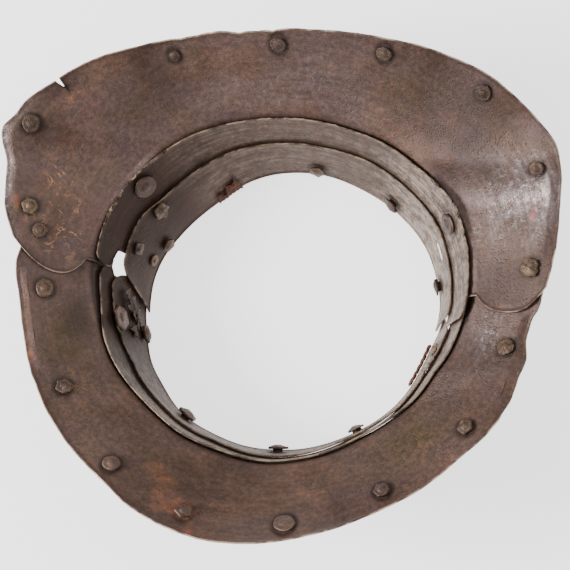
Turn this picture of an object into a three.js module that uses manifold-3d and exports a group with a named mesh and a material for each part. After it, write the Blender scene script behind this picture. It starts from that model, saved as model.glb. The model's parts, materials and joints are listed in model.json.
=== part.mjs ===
// A steel gorget: neck armour in two halves that turn on a rivet at one shoulder.
// It lies on the rim of its collar with the flange up, as it rests by itself.
// Millimetres, +Z up, +X to the shoulder that closes, +Y to the back plate.

import * as THREE from 'three';
import { mergeVertices } from 'three/addons/utils/BufferGeometryUtils.js';
import Module from 'manifold-3d';

const wasm = await Module();
wasm.setup();

// Driving dimensions, in millimetres

const sheet = 1.2; // wall of every plate and lame
const lap_gap = 0.35; // between two plates of one half
const swing_gap = 0.9; // between the two halves where they lap
const seat_gap = 0.3; // under a rivet head, round a shank
const bent_seat_gap = 0.5; // under a rivet head where the sheet bends
const collar_height = 55; // from the neck rim to the throat
const throat_half_width = 97;
const throat_half_depth = 88.5;
const rim_half_width = 78;
const rim_half_depth = 74.5;
const rim_fold = 1.1; // how much the folded rim is thicker than the wall
const rim_fold_height = 3;
const back_half_width = 140;
const back_depth = 126;
const shoulder_inset = 5; // the front half is narrower by this on each side
const front_half_width = back_half_width - shoulder_inset;
const front_depth = 134;
const bend = 4; // length of the rounded turn on each side of the throat corner
const back_neck = 15; // how far each flange plate turns down round the collar
const front_neck = 25;
const lap_neck = 4.6; // the same, where the halves lap
const turn_width = 6.5; // strip along the arm edges that is turned outwards
const turn_drop = 3.2;
const belly = 1.5; // how far the chest and nape bulge
const upper_lame_low = 31; // lower limit of the upper lame, below the throat
const lower_lame_top = 23; // upper limit of the lower lame, below the throat
const lower_lame_lift = 8; // how much higher the front lower lame stands at the pivot side
const front_lame_sink = 2.5; // the front upper lame starts this far below the throat
const front_lap_sink = 6.5; // and this far where the halves lap
const corner_round = 7; // rounding of the lame ends at their upper edge
const lobe_length = 20; // of the rounded lobes over the shoulders
const lame_lap = 10; // how far the ends of the lames pass each other at the shoulders
const pivot_along = 19; // the pivot and the stud, towards the back from the middle
const pivot_inset = 13.5; // and inwards from the widest part of the back
const pivot_across = back_half_width - pivot_inset;
const border_inset = 10; // of the border rivets from the outer edge
const rim_band = 5; // the lining rivets stand just above this band along the rim
const shank_radius = 2.2;
const thin_shank_radius = 1.5;
const bur_radius = 4; // the washer that a rivet's end is hammered over, on the inside
const bur_height = 1;
const head_radius = 4; // of a rivet's head on the outside
const head_height = 1;
const stand_off = 1.6; // of the lining rivets' washers from the lame
const stud_radius = 2.2;
const stud_slack = 0.8; // each side of the stud in its slot
const stud_play = 0.5; // between the stud's head and the plate that it holds
const slot_length = 30; // of the open slot that the stud leaves by
const leather = 1.5;
const leather_low = 1; // from the rim to the lower border of the leather
const leather_height = 10;
const slit_length = 9;
const slit_width = 2.6;
const slit_below = 2.4; // under the lower border of the upper lame
const cutter_past = 3.4; // how far a hole's cutter stands out of the sheet on each side

const shoulder_slope = THREE.MathUtils.degToRad(20);
const chest_slope = THREE.MathUtils.degToRad(40);
const nape_slope = THREE.MathUtils.degToRad(44);
const side_flare = 0.39; // how much the collar sides flare near the throat
const flat_reach = 28; // the shoulders are flat this far to each side of the pivot
const flat_fade = 26;
const slit_angle = 23.3; // in degrees from +X, as all angles are

const lap_pitch = sheet + lap_gap;
const half_step = sheet + swing_gap;

// How far each sheet lies outside the upper lame of the back half
const layer = {
  back_plate: lap_pitch,
  back_collar_lame_upper: 0,
  back_collar_lame_lower: -lap_pitch,
  front_plate: half_step + lap_pitch,
  front_collar_lame_upper: half_step,
  front_collar_lame_lower: half_step - lap_pitch,
};

// The throat and the rim are ovals, out of true by these shares, by angle from +X
const out_of_true = [
  { angle: 0, throat: 0.985, rim: 1.0 },
  { angle: 20, throat: 1.02, rim: 1.01 },
  { angle: 32, throat: 1.04, rim: 1.01 },
  { angle: 45, throat: 1.02, rim: 1.008 },
  { angle: 60, throat: 1.015, rim: 1.005 },
  { angle: 90, throat: 1.02, rim: 1.02 },
  { angle: 115, throat: 1.03, rim: 1.015 },
  { angle: 135, throat: 1.04, rim: 0.985 },
  { angle: 150, throat: 1.045, rim: 0.99 },
  { angle: 165, throat: 1.03, rim: 1.015 },
  { angle: 180, throat: 1.005, rim: 1.025 },
  { angle: 195, throat: 0.975, rim: 1.03 },
  { angle: 210, throat: 0.965, rim: 1.045 },
  { angle: 225, throat: 0.955, rim: 1.055 },
  { angle: 245, throat: 0.97, rim: 1.04 },
  { angle: 270, throat: 0.975, rim: 1.005 },
  { angle: 290, throat: 0.965, rim: 0.975 },
  { angle: 305, throat: 0.94, rim: 0.965 },
  { angle: 322, throat: 0.93, rim: 0.97 },
  { angle: 335, throat: 0.93, rim: 0.97 },
  { angle: 347, throat: 0.96, rim: 0.965 },
];

// Outer edge of each flange plate, as shares of its half width and its depth
const back_edge = [
  { across: 0.957, along: -0.1 },
  { across: 0.963, along: 0.02 },
  { across: 0.979, along: 0.122 },
  { across: 0.996, along: 0.394 },
  { across: 0.986, along: 0.565 },
  { across: 0.964, along: 0.635 },
  { across: 0.914, along: 0.698 },
  { across: 0.757, along: 0.843 },
  { across: 0.55, along: 0.937 },
  { across: 0.264, along: 0.995 },
  { across: 0, along: 1 },
  { across: -0.357, along: 0.954 },
  { across: -0.561, along: 0.902 },
  { across: -0.736, along: 0.835 },
  { across: -0.902, along: 0.717 },
  { across: -1.02, along: 0.606 },
  { across: -1.059, along: 0.556 },
  { across: -1.033, along: 0.406 },
  { across: -1.026, along: 0.305 },
  { across: -0.993, along: 0.115 },
  { across: -0.957, along: -0.016 },
  { across: -0.93, along: -0.1 },
];

const front_edge = [
  { across: -0.975, along: 0.25 },
  { across: -0.99, along: 0.12 },
  { across: -0.995, along: 0.022 },
  { across: -0.957, along: -0.14 },
  { across: -0.922, along: -0.272 },
  { across: -0.852, along: -0.479 },
  { across: -0.739, along: -0.634 },
  { across: -0.581, along: -0.773 },
  { across: -0.4, along: -0.9 },
  { across: -0.25, along: -0.958 },
  { across: -0.09, along: -0.985 },
  { across: 0.045, along: -0.98 },
  { across: 0.268, along: -0.918 },
  { across: 0.522, along: -0.785 },
  { across: 0.727, along: -0.607 },
  { across: 0.832, along: -0.495 },
  { across: 0.878, along: -0.42 },
  { across: 0.92, along: -0.26 },
  { across: 0.95, along: -0.143 },
  { across: 0.963, along: -0.057 },
  { across: 0.978, along: 0.06 },
  { across: 0.985, along: 0.16 },
  { across: 0.975, along: 0.25 },
];

// Round ends of the flange plates over the shoulders: where the tip lies along Y and
// how deep the rounding is, as shares of the lobe length, its middle as a share of the
// flange width, and its power
const lobes = {
  back: {
    open: { tip: -0.225, depth: 0.85, middle: 0.53, power: 2.2 },
    pivot: { tip: -0.08, depth: 0.75, middle: 0.55, power: 2.2 },
  },
  front: {
    open: { tip: 1.45, depth: 0.75, middle: 0.5, power: 3 },
    pivot: { tip: 1.4, depth: 0.7, middle: 0.5, power: 3 },
  },
};

// Where the collar lames end along Y, as shares of their lap
const lame_ends = {
  back_collar_lame_upper: { open: { top: -0.7, low: -0.7 }, pivot: { top: 0.6, low: 0.65 } },
  back_collar_lame_lower: { open: { top: -0.1, low: -0.6 }, pivot: { top: 0.7, low: -0.8 } },
  front_collar_lame_upper: { open: { top: 1.2, low: 1.2 }, pivot: { top: 1.2, low: 1.2 } },
  front_collar_lame_lower: { open: { top: -1.45, low: 0.5 }, pivot: { top: -0.1, low: 1.2 } },
};

// Curves

// A smooth curve through rows of [x, y] that never overshoots them
function curveThrough(rows) {
  const slopes = rows.map(() => 0);
  const rise = (i) => (rows[i + 1][1] - rows[i][1]) / (rows[i + 1][0] - rows[i][0]);
  for (let i = 1; i < rows.length - 1; i += 1) {
    const before = rise(i - 1);
    const after = rise(i);
    slopes[i] = before * after > 0 ? (2 * before * after) / (before + after) : 0;
  }
  slopes[0] = rise(0);
  slopes[rows.length - 1] = rise(rows.length - 2);
  return (x) => {
    let i = 0;
    while (i < rows.length - 2 && x >= rows[i + 1][0]) i += 1;
    const step = rows[i + 1][0] - rows[i][0];
    const t = (x - rows[i][0]) / step;
    return (
      (1 + 2 * t) * (1 - t) ** 2 * rows[i][1] +
      t * (1 - t) ** 2 * step * slopes[i] +
      t * t * (3 - 2 * t) * rows[i + 1][1] +
      t * t * (t - 1) * step * slopes[i + 1]
    );
  };
}

function shareAround(column) {
  const rows = [-360, 0, 360].flatMap((turn) =>
    out_of_true.map((row) => [row.angle + turn, row[column]]),
  );
  return curveThrough(rows);
}

const throatShare = shareAround('throat');
const rimShare = shareAround('rim');
const radians = THREE.MathUtils.degToRad;
const wrap = (angle) => ((angle % 360) + 360) % 360;

function oval(half_width, half_depth, angle) {
  const t = radians(angle);
  return 1 / Math.hypot(Math.cos(t) / half_width, Math.sin(t) / half_depth);
}

const throatRadius = (angle) =>
  oval(throat_half_width, throat_half_depth, angle) * throatShare(wrap(angle));
const rimRadius = (angle) => oval(rim_half_width, rim_half_depth, angle) * rimShare(wrap(angle));

function edgeRadius(rows, half_width, depth, turn) {
  const polar = rows.map((row) => {
    const x = row.across * half_width;
    const y = row.along * depth;
    const angle = THREE.MathUtils.radToDeg(Math.atan2(y, x));
    return [angle < turn ? angle + 360 : angle, Math.hypot(x, y)];
  });
  return curveThrough(polar);
}

const backEdge = edgeRadius(back_edge, back_half_width, back_depth, -90);
const frontEdge = edgeRadius(front_edge, front_half_width, front_depth, 90);

// Angles run from -90 to 270 on the back half and from 90 to 450 on the front half
function reach(half, angle) {
  const a = wrap(angle);
  if (half === 'back') return backEdge(a > 270 ? a - 360 : a);
  return frontEdge(a < 90 ? a + 360 : a);
}

function smooth(t) {
  const s = THREE.MathUtils.clamp(t, 0, 1);
  return s * s * (3 - 2 * s);
}

// A window in angle: 1 between from and to, fading over fade degrees outside
function between(angle, from, to, fade) {
  return smooth((angle - from) / fade + 1) * smooth((to - angle) / fade + 1);
}

// The arm edges of both plates are turned outwards, by angle from +X
const turned = {
  back: [
    { from: 17, to: 25 },
    { from: 154, to: 165 },
  ],
  front: [
    { from: 184, to: 200 },
    { from: 340, to: 354 },
  ],
};
const turned_fade = 5;

// The two shoulders, and how far round from them the halves are shaped to lap
const shoulder = { open: 0, pivot: 180 };
const seam = {
  neck: { from: 12, fade: 10 },
  sink: { from: 6, fade: 14 },
  fold: { from: 12, fade: 6 },
};
const lift = { from: 170, to: 192, fade: 16 };

// Heights of the rows of points up a lame, as shares of its height
const upper_shares = [0, 0.4, 0.86, 1];
const lower_shares = [0.5, 0.88, 1];

// The form that every sheet follows

// w is the way from the throat: down the collar below 0, out along the flange above 0
function corner(half, angle, w) {
  const throat = throatRadius(angle);
  if (w <= 0) {
    const share = Math.max(0, 1 + w / collar_height);
    const power = 1 + side_flare * Math.cos(radians(angle)) ** 2;
    const rim = rimRadius(angle);
    return { r: rim + (throat - rim) * share ** power, z: collar_height * share };
  }
  const total = reach(half, angle) - throat;
  const r = throat + w;
  const sine = Math.sin(radians(angle));
  const steep = Math.abs(sine) ** 3;
  const end_slope = sine > 0 ? nape_slope : chest_slope;
  const slope = shoulder_slope + (end_slope - shoulder_slope) * steep;
  const bulge = belly * steep * Math.sin(Math.PI * Math.min(w / total, 1));
  const rising = collar_height + Math.tan(slope) * w - bulge;
  const x = Math.abs(r * Math.cos(radians(angle)));
  const level = throatRadius(Math.cos(radians(angle)) > 0 ? 0 : 180);
  const flat = collar_height + Math.tan(shoulder_slope) * (x - level);
  const off = Math.abs(r * sine - pivot_along) - flat_reach;
  const share = 1 - smooth(off / flat_fade);
  let z = rising + (flat - rising) * share;
  for (const strip of turned[half]) {
    const past = Math.max(0, (w - total) / turn_width + 1);
    z -= turn_drop * past ** 2 * between(wrap(angle), strip.from, strip.to, turned_fade);
  }
  return { r, z };
}

function form(half, angle, w, rounded) {
  let place = corner(half, angle, w);
  if (rounded && Math.abs(w) < bend) {
    const t = (w + bend) / (2 * bend);
    const low = corner(half, angle, -bend);
    const mid = corner(half, angle, 0);
    const high = corner(half, angle, bend);
    const mix = (a, b, c) => (1 - t) ** 2 * a + 2 * t * (1 - t) * b + t * t * c;
    place = { r: mix(low.r, mid.r, high.r), z: mix(low.z, mid.z, high.z) };
  }
  const t = radians(angle);
  return new THREE.Vector3(place.r * Math.cos(t), place.r * Math.sin(t), place.z);
}

// A point of the form and its outward normal, away from the neck and the body
function sample(half, angle, w, rounded) {
  const small = 0.25;
  const along = form(half, angle + small, w, rounded).sub(form(half, angle - small, w, rounded));
  const up = form(half, angle, w + small, rounded).sub(form(half, angle, w - small, rounded));
  return { point: form(half, angle, w, rounded), normal: along.cross(up).normalize() };
}

// Closed sheets

// Rows of stations, each with an inner and an outer point, closed into one shell
function shellGeometry(columns) {
  const count = columns.length;
  const rows = columns[0].length;
  const positions = [];
  for (const column of columns) {
    for (const station of column) positions.push(...station.inner.toArray(), ...station.outer.toArray());
  }
  const at = (i, j, side) => 2 * (i * rows + j) + side;
  const index = [];
  const quad = (a, b, c, d) => index.push(a, b, c, a, c, d);
  for (let i = 0; i < count - 1; i += 1) {
    for (let j = 0; j < rows - 1; j += 1) {
      quad(at(i, j, 1), at(i + 1, j, 1), at(i + 1, j + 1, 1), at(i, j + 1, 1));
      quad(at(i, j, 0), at(i, j + 1, 0), at(i + 1, j + 1, 0), at(i + 1, j, 0));
    }
    quad(at(i, 0, 0), at(i + 1, 0, 0), at(i + 1, 0, 1), at(i, 0, 1));
    quad(at(i, rows - 1, 1), at(i + 1, rows - 1, 1), at(i + 1, rows - 1, 0), at(i, rows - 1, 0));
  }
  for (let j = 0; j < rows - 1; j += 1) {
    const last = count - 1;
    quad(at(0, j, 0), at(0, j, 1), at(0, j + 1, 1), at(0, j + 1, 0));
    quad(at(last, j, 1), at(last, j, 0), at(last, j + 1, 0), at(last, j + 1, 1));
  }
  const geometry = new THREE.BufferGeometry();
  geometry.setAttribute('position', new THREE.Float32BufferAttribute(positions, 3));
  geometry.setIndex(index);
  return geometry;
}

function solidOf(geometry) {
  const bare = geometry.clone();
  bare.deleteAttribute('normal');
  bare.deleteAttribute('uv');
  const merged = mergeVertices(bare, 1e-5);
  const vertProperties = new Float32Array(merged.attributes.position.array);
  const triVerts = new Uint32Array(merged.index.array);
  return new wasm.Manifold(new wasm.Mesh({ numProp: 3, vertProperties, triVerts }));
}

function geometryOf(solid) {
  const mesh = solid.getMesh();
  const geometry = new THREE.BufferGeometry();
  geometry.setAttribute('position', new THREE.Float32BufferAttribute(mesh.vertProperties, 3));
  geometry.setIndex(Array.from(mesh.triVerts));
  return geometry;
}

// The angle at which a point at radius r lies at y, on the open or the pivot side
function angleAt(y, r, side) {
  const turn = THREE.MathUtils.radToDeg(Math.asin(y / r));
  return side === 'open' ? turn : 180 - turn;
}

const plate_columns = 38;
const flange_shares = [0.22, 0.5, 0.76, 0.91, 1];

// Where a flange plate ends at a share of its flange width
function lobeEnd(half, side, share) {
  const lobe = lobes[half][side];
  const middle = shoulder[side];
  const throat = throatRadius(middle);
  const width = reach(half, middle) - throat;
  const off = (share - lobe.middle) / Math.max(lobe.middle, 1 - lobe.middle);
  const round = lobe.depth * Math.abs(off) ** lobe.power;
  const y = lobe_length * (half === 'back' ? lobe.tip + round : lobe.tip - round);
  return angleAt(y, throat + share * width, side);
}

// How near an angle is to the shoulder where the halves lap, 1 within from degrees
function nearSeam(angle, from, fade) {
  const a = wrap(angle) % 180;
  return 1 - smooth((Math.min(a, 180 - a) - from) / fade);
}

function plateGeometry(half) {
  const shift = layer[half + '_plate'];
  const neck = half === 'back' ? back_neck : front_neck;
  const columns = [];
  for (let i = 0; i <= plate_columns; i += 1) {
    const u = i / plate_columns;
    const column = [];
    const station = (share, wOf) => {
      const first = lobeEnd(half, half === 'back' ? 'open' : 'pivot', share);
      const last = lobeEnd(half, half === 'back' ? 'pivot' : 'open', share);
      const angle = first + ((half === 'back' ? last : last + 360) - first) * u;
      const { point, normal } = sample(half, angle, wOf(angle), true);
      column.push({
        inner: point.clone().addScaledVector(normal, shift - sheet / 2),
        outer: point.clone().addScaledVector(normal, shift + sheet / 2),
      });
    };
    const depth = (angle) => {
      const lapped = half === 'back' ? nearSeam(angle, seam.neck.from, seam.neck.fade) : 0;
      return neck + (lap_neck - neck) * lapped;
    };
    station(0, (angle) => -depth(angle));
    station(0, () => -bend);
    station(0, () => -bend / 3);
    station(0, () => bend / 3);
    for (const share of flange_shares) {
      station(share, (angle) => bend + share * (reach(half, angle) - throatRadius(angle) - bend));
    }
    columns.push(column);
  }
  return shellGeometry(columns);
}

const lame_columns = 32;

// The upper border of a lame, as its way from the throat
function lameTop(name, angle) {
  if (name === 'back_collar_lame_upper') return 0;
  if (name === 'front_collar_lame_upper') {
    const lapped = nearSeam(angle, seam.sink.from, seam.sink.fade);
    return -front_lame_sink - (front_lap_sink - front_lame_sink) * lapped;
  }
  const lifted = name.startsWith('front') ? between(wrap(angle), lift.from, lift.to, lift.fade) : 0;
  return lower_lame_lift * lifted - lower_lame_top;
}

function lameGeometry(name) {
  const half = name.split('_')[0];
  const upper = name.endsWith('upper');
  const ends = lame_ends[name];
  const shift = layer[name];
  const low = upper ? -upper_lame_low : -collar_height;
  const height = lameTop(name, 90) - low;
  const fold = rim_fold_height / height;
  const shares = upper ? upper_shares : [0, fold, fold * 1.1, ...lower_shares];
  const columns = [];
  for (let i = 0; i <= lame_columns; i += 1) {
    const u = i / lame_columns;
    const column = [];
    for (const share of shares) {
      const down = (1 - share) * height;
      const off = THREE.MathUtils.clamp(1 - down / corner_round, 0, 1);
      const cut = corner_round * (1 - Math.sqrt(1 - off * off)) * (half === 'back' ? 1 : -1);
      const endAngle = (side) => {
        const y = lame_lap * (ends[side].low + (ends[side].top - ends[side].low) * share) + cut;
        const throat = throatRadius(shoulder[side]);
        const rim = rimRadius(shoulder[side]);
        const w = low + share * (lameTop(name, shoulder[side]) - low);
        return angleAt(y, rim + (throat - rim) * (1 + w / collar_height), side);
      };
      const first = endAngle(half === 'back' ? 'open' : 'pivot');
      const last = endAngle(half === 'back' ? 'pivot' : 'open') + (half === 'back' ? 0 : 360);
      const angle = first + (last - first) * u;
      const w = low + share * (lameTop(name, angle) - low);
      const { point, normal } = sample(half, angle, w, false);
      const thin = nearSeam(angle, seam.fold.from, seam.fold.fade);
      const folded = !upper && share <= fold ? rim_fold * (1 - thin) : 0;
      const inner = point.clone().addScaledVector(normal, shift - sheet / 2);
      const outer = point.clone().addScaledVector(normal, shift + sheet / 2 + folded);
      if (!upper && share === 0) {
        inner.z = 0;
        outer.z = 0;
      }
      column.push({ inner, outer });
    }
    columns.push(column);
  }
  return shellGeometry(columns);
}

// Strips of leather left on the inner face of the lower lames, with a ragged upper border;
// high is a share of the leather height
const leathers = [
  { half: 'back', from: 119, to: 131, high: 0.9, steps: 6 },
  { half: 'front', from: 331, to: 350, high: 0.6, steps: 8 },
];
const ragged_share = 0.18;
const ragged_step = 2.3;

function leatherGeometry({ half, from, to, high, steps }) {
  const shift = layer[half + '_collar_lame_lower'] - sheet / 2 - seat_gap - leather / 2;
  const columns = [];
  for (let i = 0; i <= steps; i += 1) {
    const angle = from + ((to - from) * i) / steps;
    const ragged = 1 + ragged_share * Math.sin(ragged_step * i);
    const column = [leather_low, leather_height * high * ragged].map((above) => {
      const { point, normal } = sample(half, angle, above - collar_height, false);
      return {
        inner: point.clone().addScaledVector(normal, shift - leather / 2),
        outer: point.clone().addScaledVector(normal, shift + leather / 2),
      };
    });
    columns.push(column);
  }
  return shellGeometry(columns);
}

// Rivets

// A rivet's section, from the top of its inner head down to the end of its outer head
function rivetGeometry(rivet, inner_face, outer_face) {
  const bur = bur_radius * rivet.bur;
  const bur_top = bur_height * rivet.bur_height;
  const head = head_radius * rivet.head;
  const head_top = head_height * rivet.head_height;
  const hollow = rivet.w < 0 ? bur ** 2 / (2 * rim_half_depth) : 0;
  const seat = rivet.bent_seat ? bent_seat_gap * rivet.bent_seat : seat_gap;
  const top = inner_face + seat + hollow + (rivet.stand ?? 0);
  const under = outer_face - seat - (rivet.play ?? 0);
  const shank = rivet.shank ?? shank_radius;
  const section = [
    [0, top + bur_top],
    [bur * 0.85, top + bur_top * 0.7],
    [bur, top],
    [shank, top],
    [shank, under],
    [head, under],
    [head * 0.66, under - head_top * 0.75],
    [0, under - head_top],
  ];
  const points = section.reverse().map(([r, y]) => new THREE.Vector2(r, y));
  return new THREE.LatheGeometry(points, rivet.sides ?? 8);
}

// Forms of rivet, as shares of the named radii and heights
const domed = { bur: 1.05, bur_height: 1.4, head: 0.85, head_height: 1.6 };
const burred = { bur: 1.3, bur_height: 1.6, head: 1.05, head_height: 1.5 };
const thin = { bur: 0.6, bur_height: 0.8, head: 0.75, head_height: 1.2, shank: thin_shank_radius, sides: 6 };
const washered = { ...thin, bur_height: 0.9, head_height: 1.3, stand: stand_off, sides: 8 };

// Rivets along the outer borders, their inset and bent seat as shares of the named ones
const border_rivets = [
  { name: 'back_border_rivet_1', angle: 152, inset: 0.9, ...domed, bent_seat: 1.2 },
  { name: 'back_border_rivet_2', angle: 167, inset: 1.06, ...domed, sides: 6 },
  { name: 'back_border_rivet_3', angle: 119.8, inset: 0.56, ...domed },
  { name: 'back_border_rivet_4', angle: 95, inset: 0.56, ...domed },
  { name: 'back_border_rivet_5', angle: 69.5, inset: 0.56, ...domed },
  { name: 'back_border_rivet_6', angle: 47, inset: 0.8, ...domed },
  { name: 'back_border_rivet_7', angle: 28.5, inset: 1.3, ...domed, bent_seat: 1 },
  { name: 'front_border_rivet_1', angle: 184.9, inset: 1.12, ...domed, bent_seat: 0.9 },
  { name: 'front_border_rivet_2', angle: 210.2, inset: 1.26, ...domed },
  { name: 'front_border_rivet_3', angle: 233.7, inset: 0.84, ...domed },
  { name: 'front_border_rivet_4', angle: 255.4, inset: 1, ...domed },
  { name: 'front_border_rivet_5', angle: 279.2, inset: 0.84, ...domed, bur: 1.3 },
  { name: 'front_border_rivet_6', angle: 303.1, inset: 0.84, ...domed },
  { name: 'front_border_rivet_7', angle: 328, inset: 0.98, ...domed },
  { name: 'front_border_rivet_8', angle: 349.8, inset: 1.04, ...domed },
].map((row) => {
  const half = row.name.split('_')[0];
  const total = reach(half, row.angle) - throatRadius(row.angle);
  return { ...row, through: [half + '_plate'], w: total - border_inset * row.inset };
});

// Places on the collar, as ways from the throat: a share of the way down the neck of the
// back plate, and of the way over the lap of the lower lame on the upper one
const onNeck = (share) => -back_neck * share;
const onLap = (share) => -lower_lame_top - (upper_lame_low - lower_lame_top) * share;
const onLower = (share) => -lower_lame_top - (collar_height - lower_lame_top) * share;
const aboveRim = (share) => rim_band * share - collar_height;

const upper_to_plate = ['back_collar_lame_upper', 'back_plate'];
const back_lap = ['back_collar_lame_lower', 'back_collar_lame_upper'];
const front_lap = ['front_collar_lame_lower', 'front_collar_lame_upper'];
const lame_rivets = [
  { name: 'back_upper_lame_rivet_pivot_side', through: upper_to_plate, angle: 147.4, w: onNeck(0.6), ...burred },
  {
    name: 'back_upper_lame_rivet_open_side',
    through: upper_to_plate,
    angle: 27.7,
    w: onNeck(0.7),
    ...burred,
    bur: 1.15,
  },
  {
    name: 'back_lower_lame_rivet_1',
    through: back_lap,
    angle: 149.9,
    w: onLap(0.475),
    ...burred,
    bur: 1.2,
    head: 0.85,
  },
  {
    name: 'back_lower_lame_rivet_2',
    through: back_lap,
    angle: 165.9,
    w: onLap(0.55),
    ...burred,
    bur: 0.9,
    head: 0.8,
  },
  {
    name: 'back_lower_lame_rivet_3',
    through: ['back_collar_lame_lower'],
    angle: 166.3,
    w: onLower(0.6875),
    ...thin,
  },
  {
    name: 'front_lame_rivet_pivot_side',
    through: [...front_lap, 'front_plate'],
    angle: 192.1,
    w: lower_lame_lift + onLap(0.5625),
    ...burred,
    bur_height: 2,
    sides: 6,
  },
  {
    name: 'front_lame_rivet_open_side',
    through: front_lap,
    angle: 345.9,
    w: onLap(0.625),
    ...burred,
    bur: 0.85,
    head: 0.65,
    shank: thin_shank_radius,
  },
];

// Rivets of the lost lining, with washers that stand off the lower lames
const lining_rivets = [
  { half: 'back', angle: 86.4, above: 1.3 },
  { half: 'back', angle: 52.4, above: 1.3 },
  { half: 'back', angle: 13, above: 1.3 },
  { half: 'back', angle: 158, above: 1.3 },
  { half: 'front', angle: 195, above: 1.5 },
  { half: 'front', angle: 231, above: 1.3 },
  { half: 'front', angle: 270, above: 1.3 },
  { half: 'front', angle: 303, above: 1.3 },
].map((row, i) => ({
  ...row,
  ...washered,
  name: 'lining_rivet_' + (i + 1),
  through: [row.half + '_collar_lame_lower'],
  w: aboveRim(row.above),
}));

// The pivot holds both flange plates, and the stud stands in a slot of the front plate
const pivot_turn = THREE.MathUtils.radToDeg(Math.atan2(pivot_along, pivot_across));
const pivot_angle = { open: pivot_turn, pivot: shoulder.pivot - pivot_turn };
const pivotWay = (side) => Math.hypot(pivot_across, pivot_along) - throatRadius(pivot_angle[side]);
const turning_rivets = [
  {
    name: 'pivot_rivet',
    through: ['back_plate', 'front_plate'],
    angle: pivot_angle.pivot,
    w: pivotWay('pivot'),
    bur: 0.85,
    bur_height: 0.6,
    head: 1.1,
    head_height: 1.6,
    sides: 12,
  },
  {
    name: 'closing_stud',
    through: ['back_plate'],
    passes: 'front_plate',
    angle: pivot_angle.open,
    w: pivotWay('open'),
    bur: 1.1,
    bur_height: 1.1,
    head: 1.35,
    head_height: 1.8,
    shank: stud_radius,
    play: stud_play,
  },
];
const rivets = [...border_rivets, ...lame_rivets, ...lining_rivets, ...turning_rivets];

// Sheets and the holes in them

const solids = {};
for (const half of ['back', 'front']) {
  solids[half + '_plate'] = solidOf(plateGeometry(half));
  for (const level of ['upper', 'lower']) {
    const name = half + '_collar_lame_' + level;
    solids[name] = solidOf(lameGeometry(name));
  }
}

const finish = {
  plate: { color: 0x5b4a42, roughness: 0.55, metalness: 0.75 },
  collar: { color: 0x7d7068, roughness: 0.5, metalness: 0.75 },
  rivet: { color: 0x554a40, roughness: 0.6, metalness: 0.7 },
  leather: { color: 0x5a2e20, roughness: 0.9, metalness: 0 },
};

const gorget = new THREE.Group();
gorget.name = 'gorget';

function add(name, geometry, look, place) {
  const mesh = new THREE.Mesh(geometry, new THREE.MeshStandardMaterial(look));
  mesh.name = name;
  if (place) mesh.applyMatrix4(place);
  gorget.add(mesh);
}

// A frame at a place on the form, with its Y axis along the inward normal
function placeOn(half, angle, w) {
  const { point, normal } = sample(half, angle, w, w > 0);
  const inward = normal.clone().negate();
  const side = new THREE.Vector3(0, 0, 1).cross(inward).normalize();
  const frame = new THREE.Matrix4().makeBasis(side, inward, side.clone().cross(inward));
  return frame.setPosition(point);
}

function cutFrom(name, geometry, place) {
  const cutter = solidOf(geometry.applyMatrix4(place));
  solids[name] = solids[name].subtract(cutter);
}

const cutter_length = sheet + 2 * cutter_past;
for (const rivet of rivets) {
  const half = rivet.through[0].split('_')[0];
  const place = placeOn(half, rivet.angle, rivet.w);
  const shank = rivet.shank ?? shank_radius;
  const held = rivet.passes ? [...rivet.through, rivet.passes] : rivet.through;
  const inner_face = -Math.min(...held.map((name) => layer[name])) + sheet / 2;
  const outer_face = -Math.max(...held.map((name) => layer[name])) - sheet / 2;
  add(rivet.name, rivetGeometry(rivet, inner_face, outer_face), finish.rivet, place);
  for (const name of rivet.through) {
    const sheet_middle = new THREE.Matrix4().makeTranslation(0, -layer[name], 0);
    const hole = new THREE.CylinderGeometry(shank + seat_gap, shank + seat_gap, cutter_length, 8);
    cutFrom(name, hole, place.clone().multiply(sheet_middle));
  }
}

// The open slot that the stud leaves as the back half swings away
const stud_place = placeOn('front', pivot_angle.open, pivotWay('open'));
const slot_width = 2 * (stud_radius + stud_slack);
const slot = new THREE.BoxGeometry(slot_length, cutter_length, slot_width);
const slot_shift = slot_width / 2 - slot_length / 2;
const slot_place = new THREE.Matrix4().makeTranslation(slot_shift, -layer.front_plate, 0);
cutFrom('front_plate', slot, stud_place.clone().multiply(slot_place));

// The slit through the lower lame of the back half, near the side that opens
const slit = new THREE.BoxGeometry(slit_length, cutter_length, slit_width);
const slit_place = placeOn('back', slit_angle, -upper_lame_low - slit_below);
const slit_shift = new THREE.Matrix4().makeTranslation(0, -layer.back_collar_lame_lower, 0);
cutFrom('back_collar_lame_lower', slit, slit_place.clone().multiply(slit_shift));

for (const [name, solid] of Object.entries(solids)) {
  add(name, geometryOf(solid), name.endsWith('plate') ? finish.plate : finish.collar);
}

for (const row of leathers) {
  add('leather_remnant_' + row.half, leatherGeometry(row), finish.leather);
}

// The origin is under the middle of the whole
const whole = new THREE.Box3().setFromObject(gorget, true);
const middle = whole.getCenter(new THREE.Vector3());
gorget.position.set(-middle.x, -middle.y, -whole.min.z);
gorget.updateMatrixWorld(true);

export default gorget;
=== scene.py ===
# %% [markdown]
# # An old steel gorget, seen into its neck hollow
# A gorget guards the neck. This one is made of two halves that turn on a rivet at one shoulder.
# Each half has a broad flange plate and two lames, which are the hoops of the collar. It lies on
# the rim of its collar, so that the flange stands up like the brim of a bowl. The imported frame
# gives the bodies and the hinge, and every piece made here rides on one of them.

# %% Load the frame
import json
import math
import bpy
import numpy as np
from mathutils import Matrix, Vector


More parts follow.
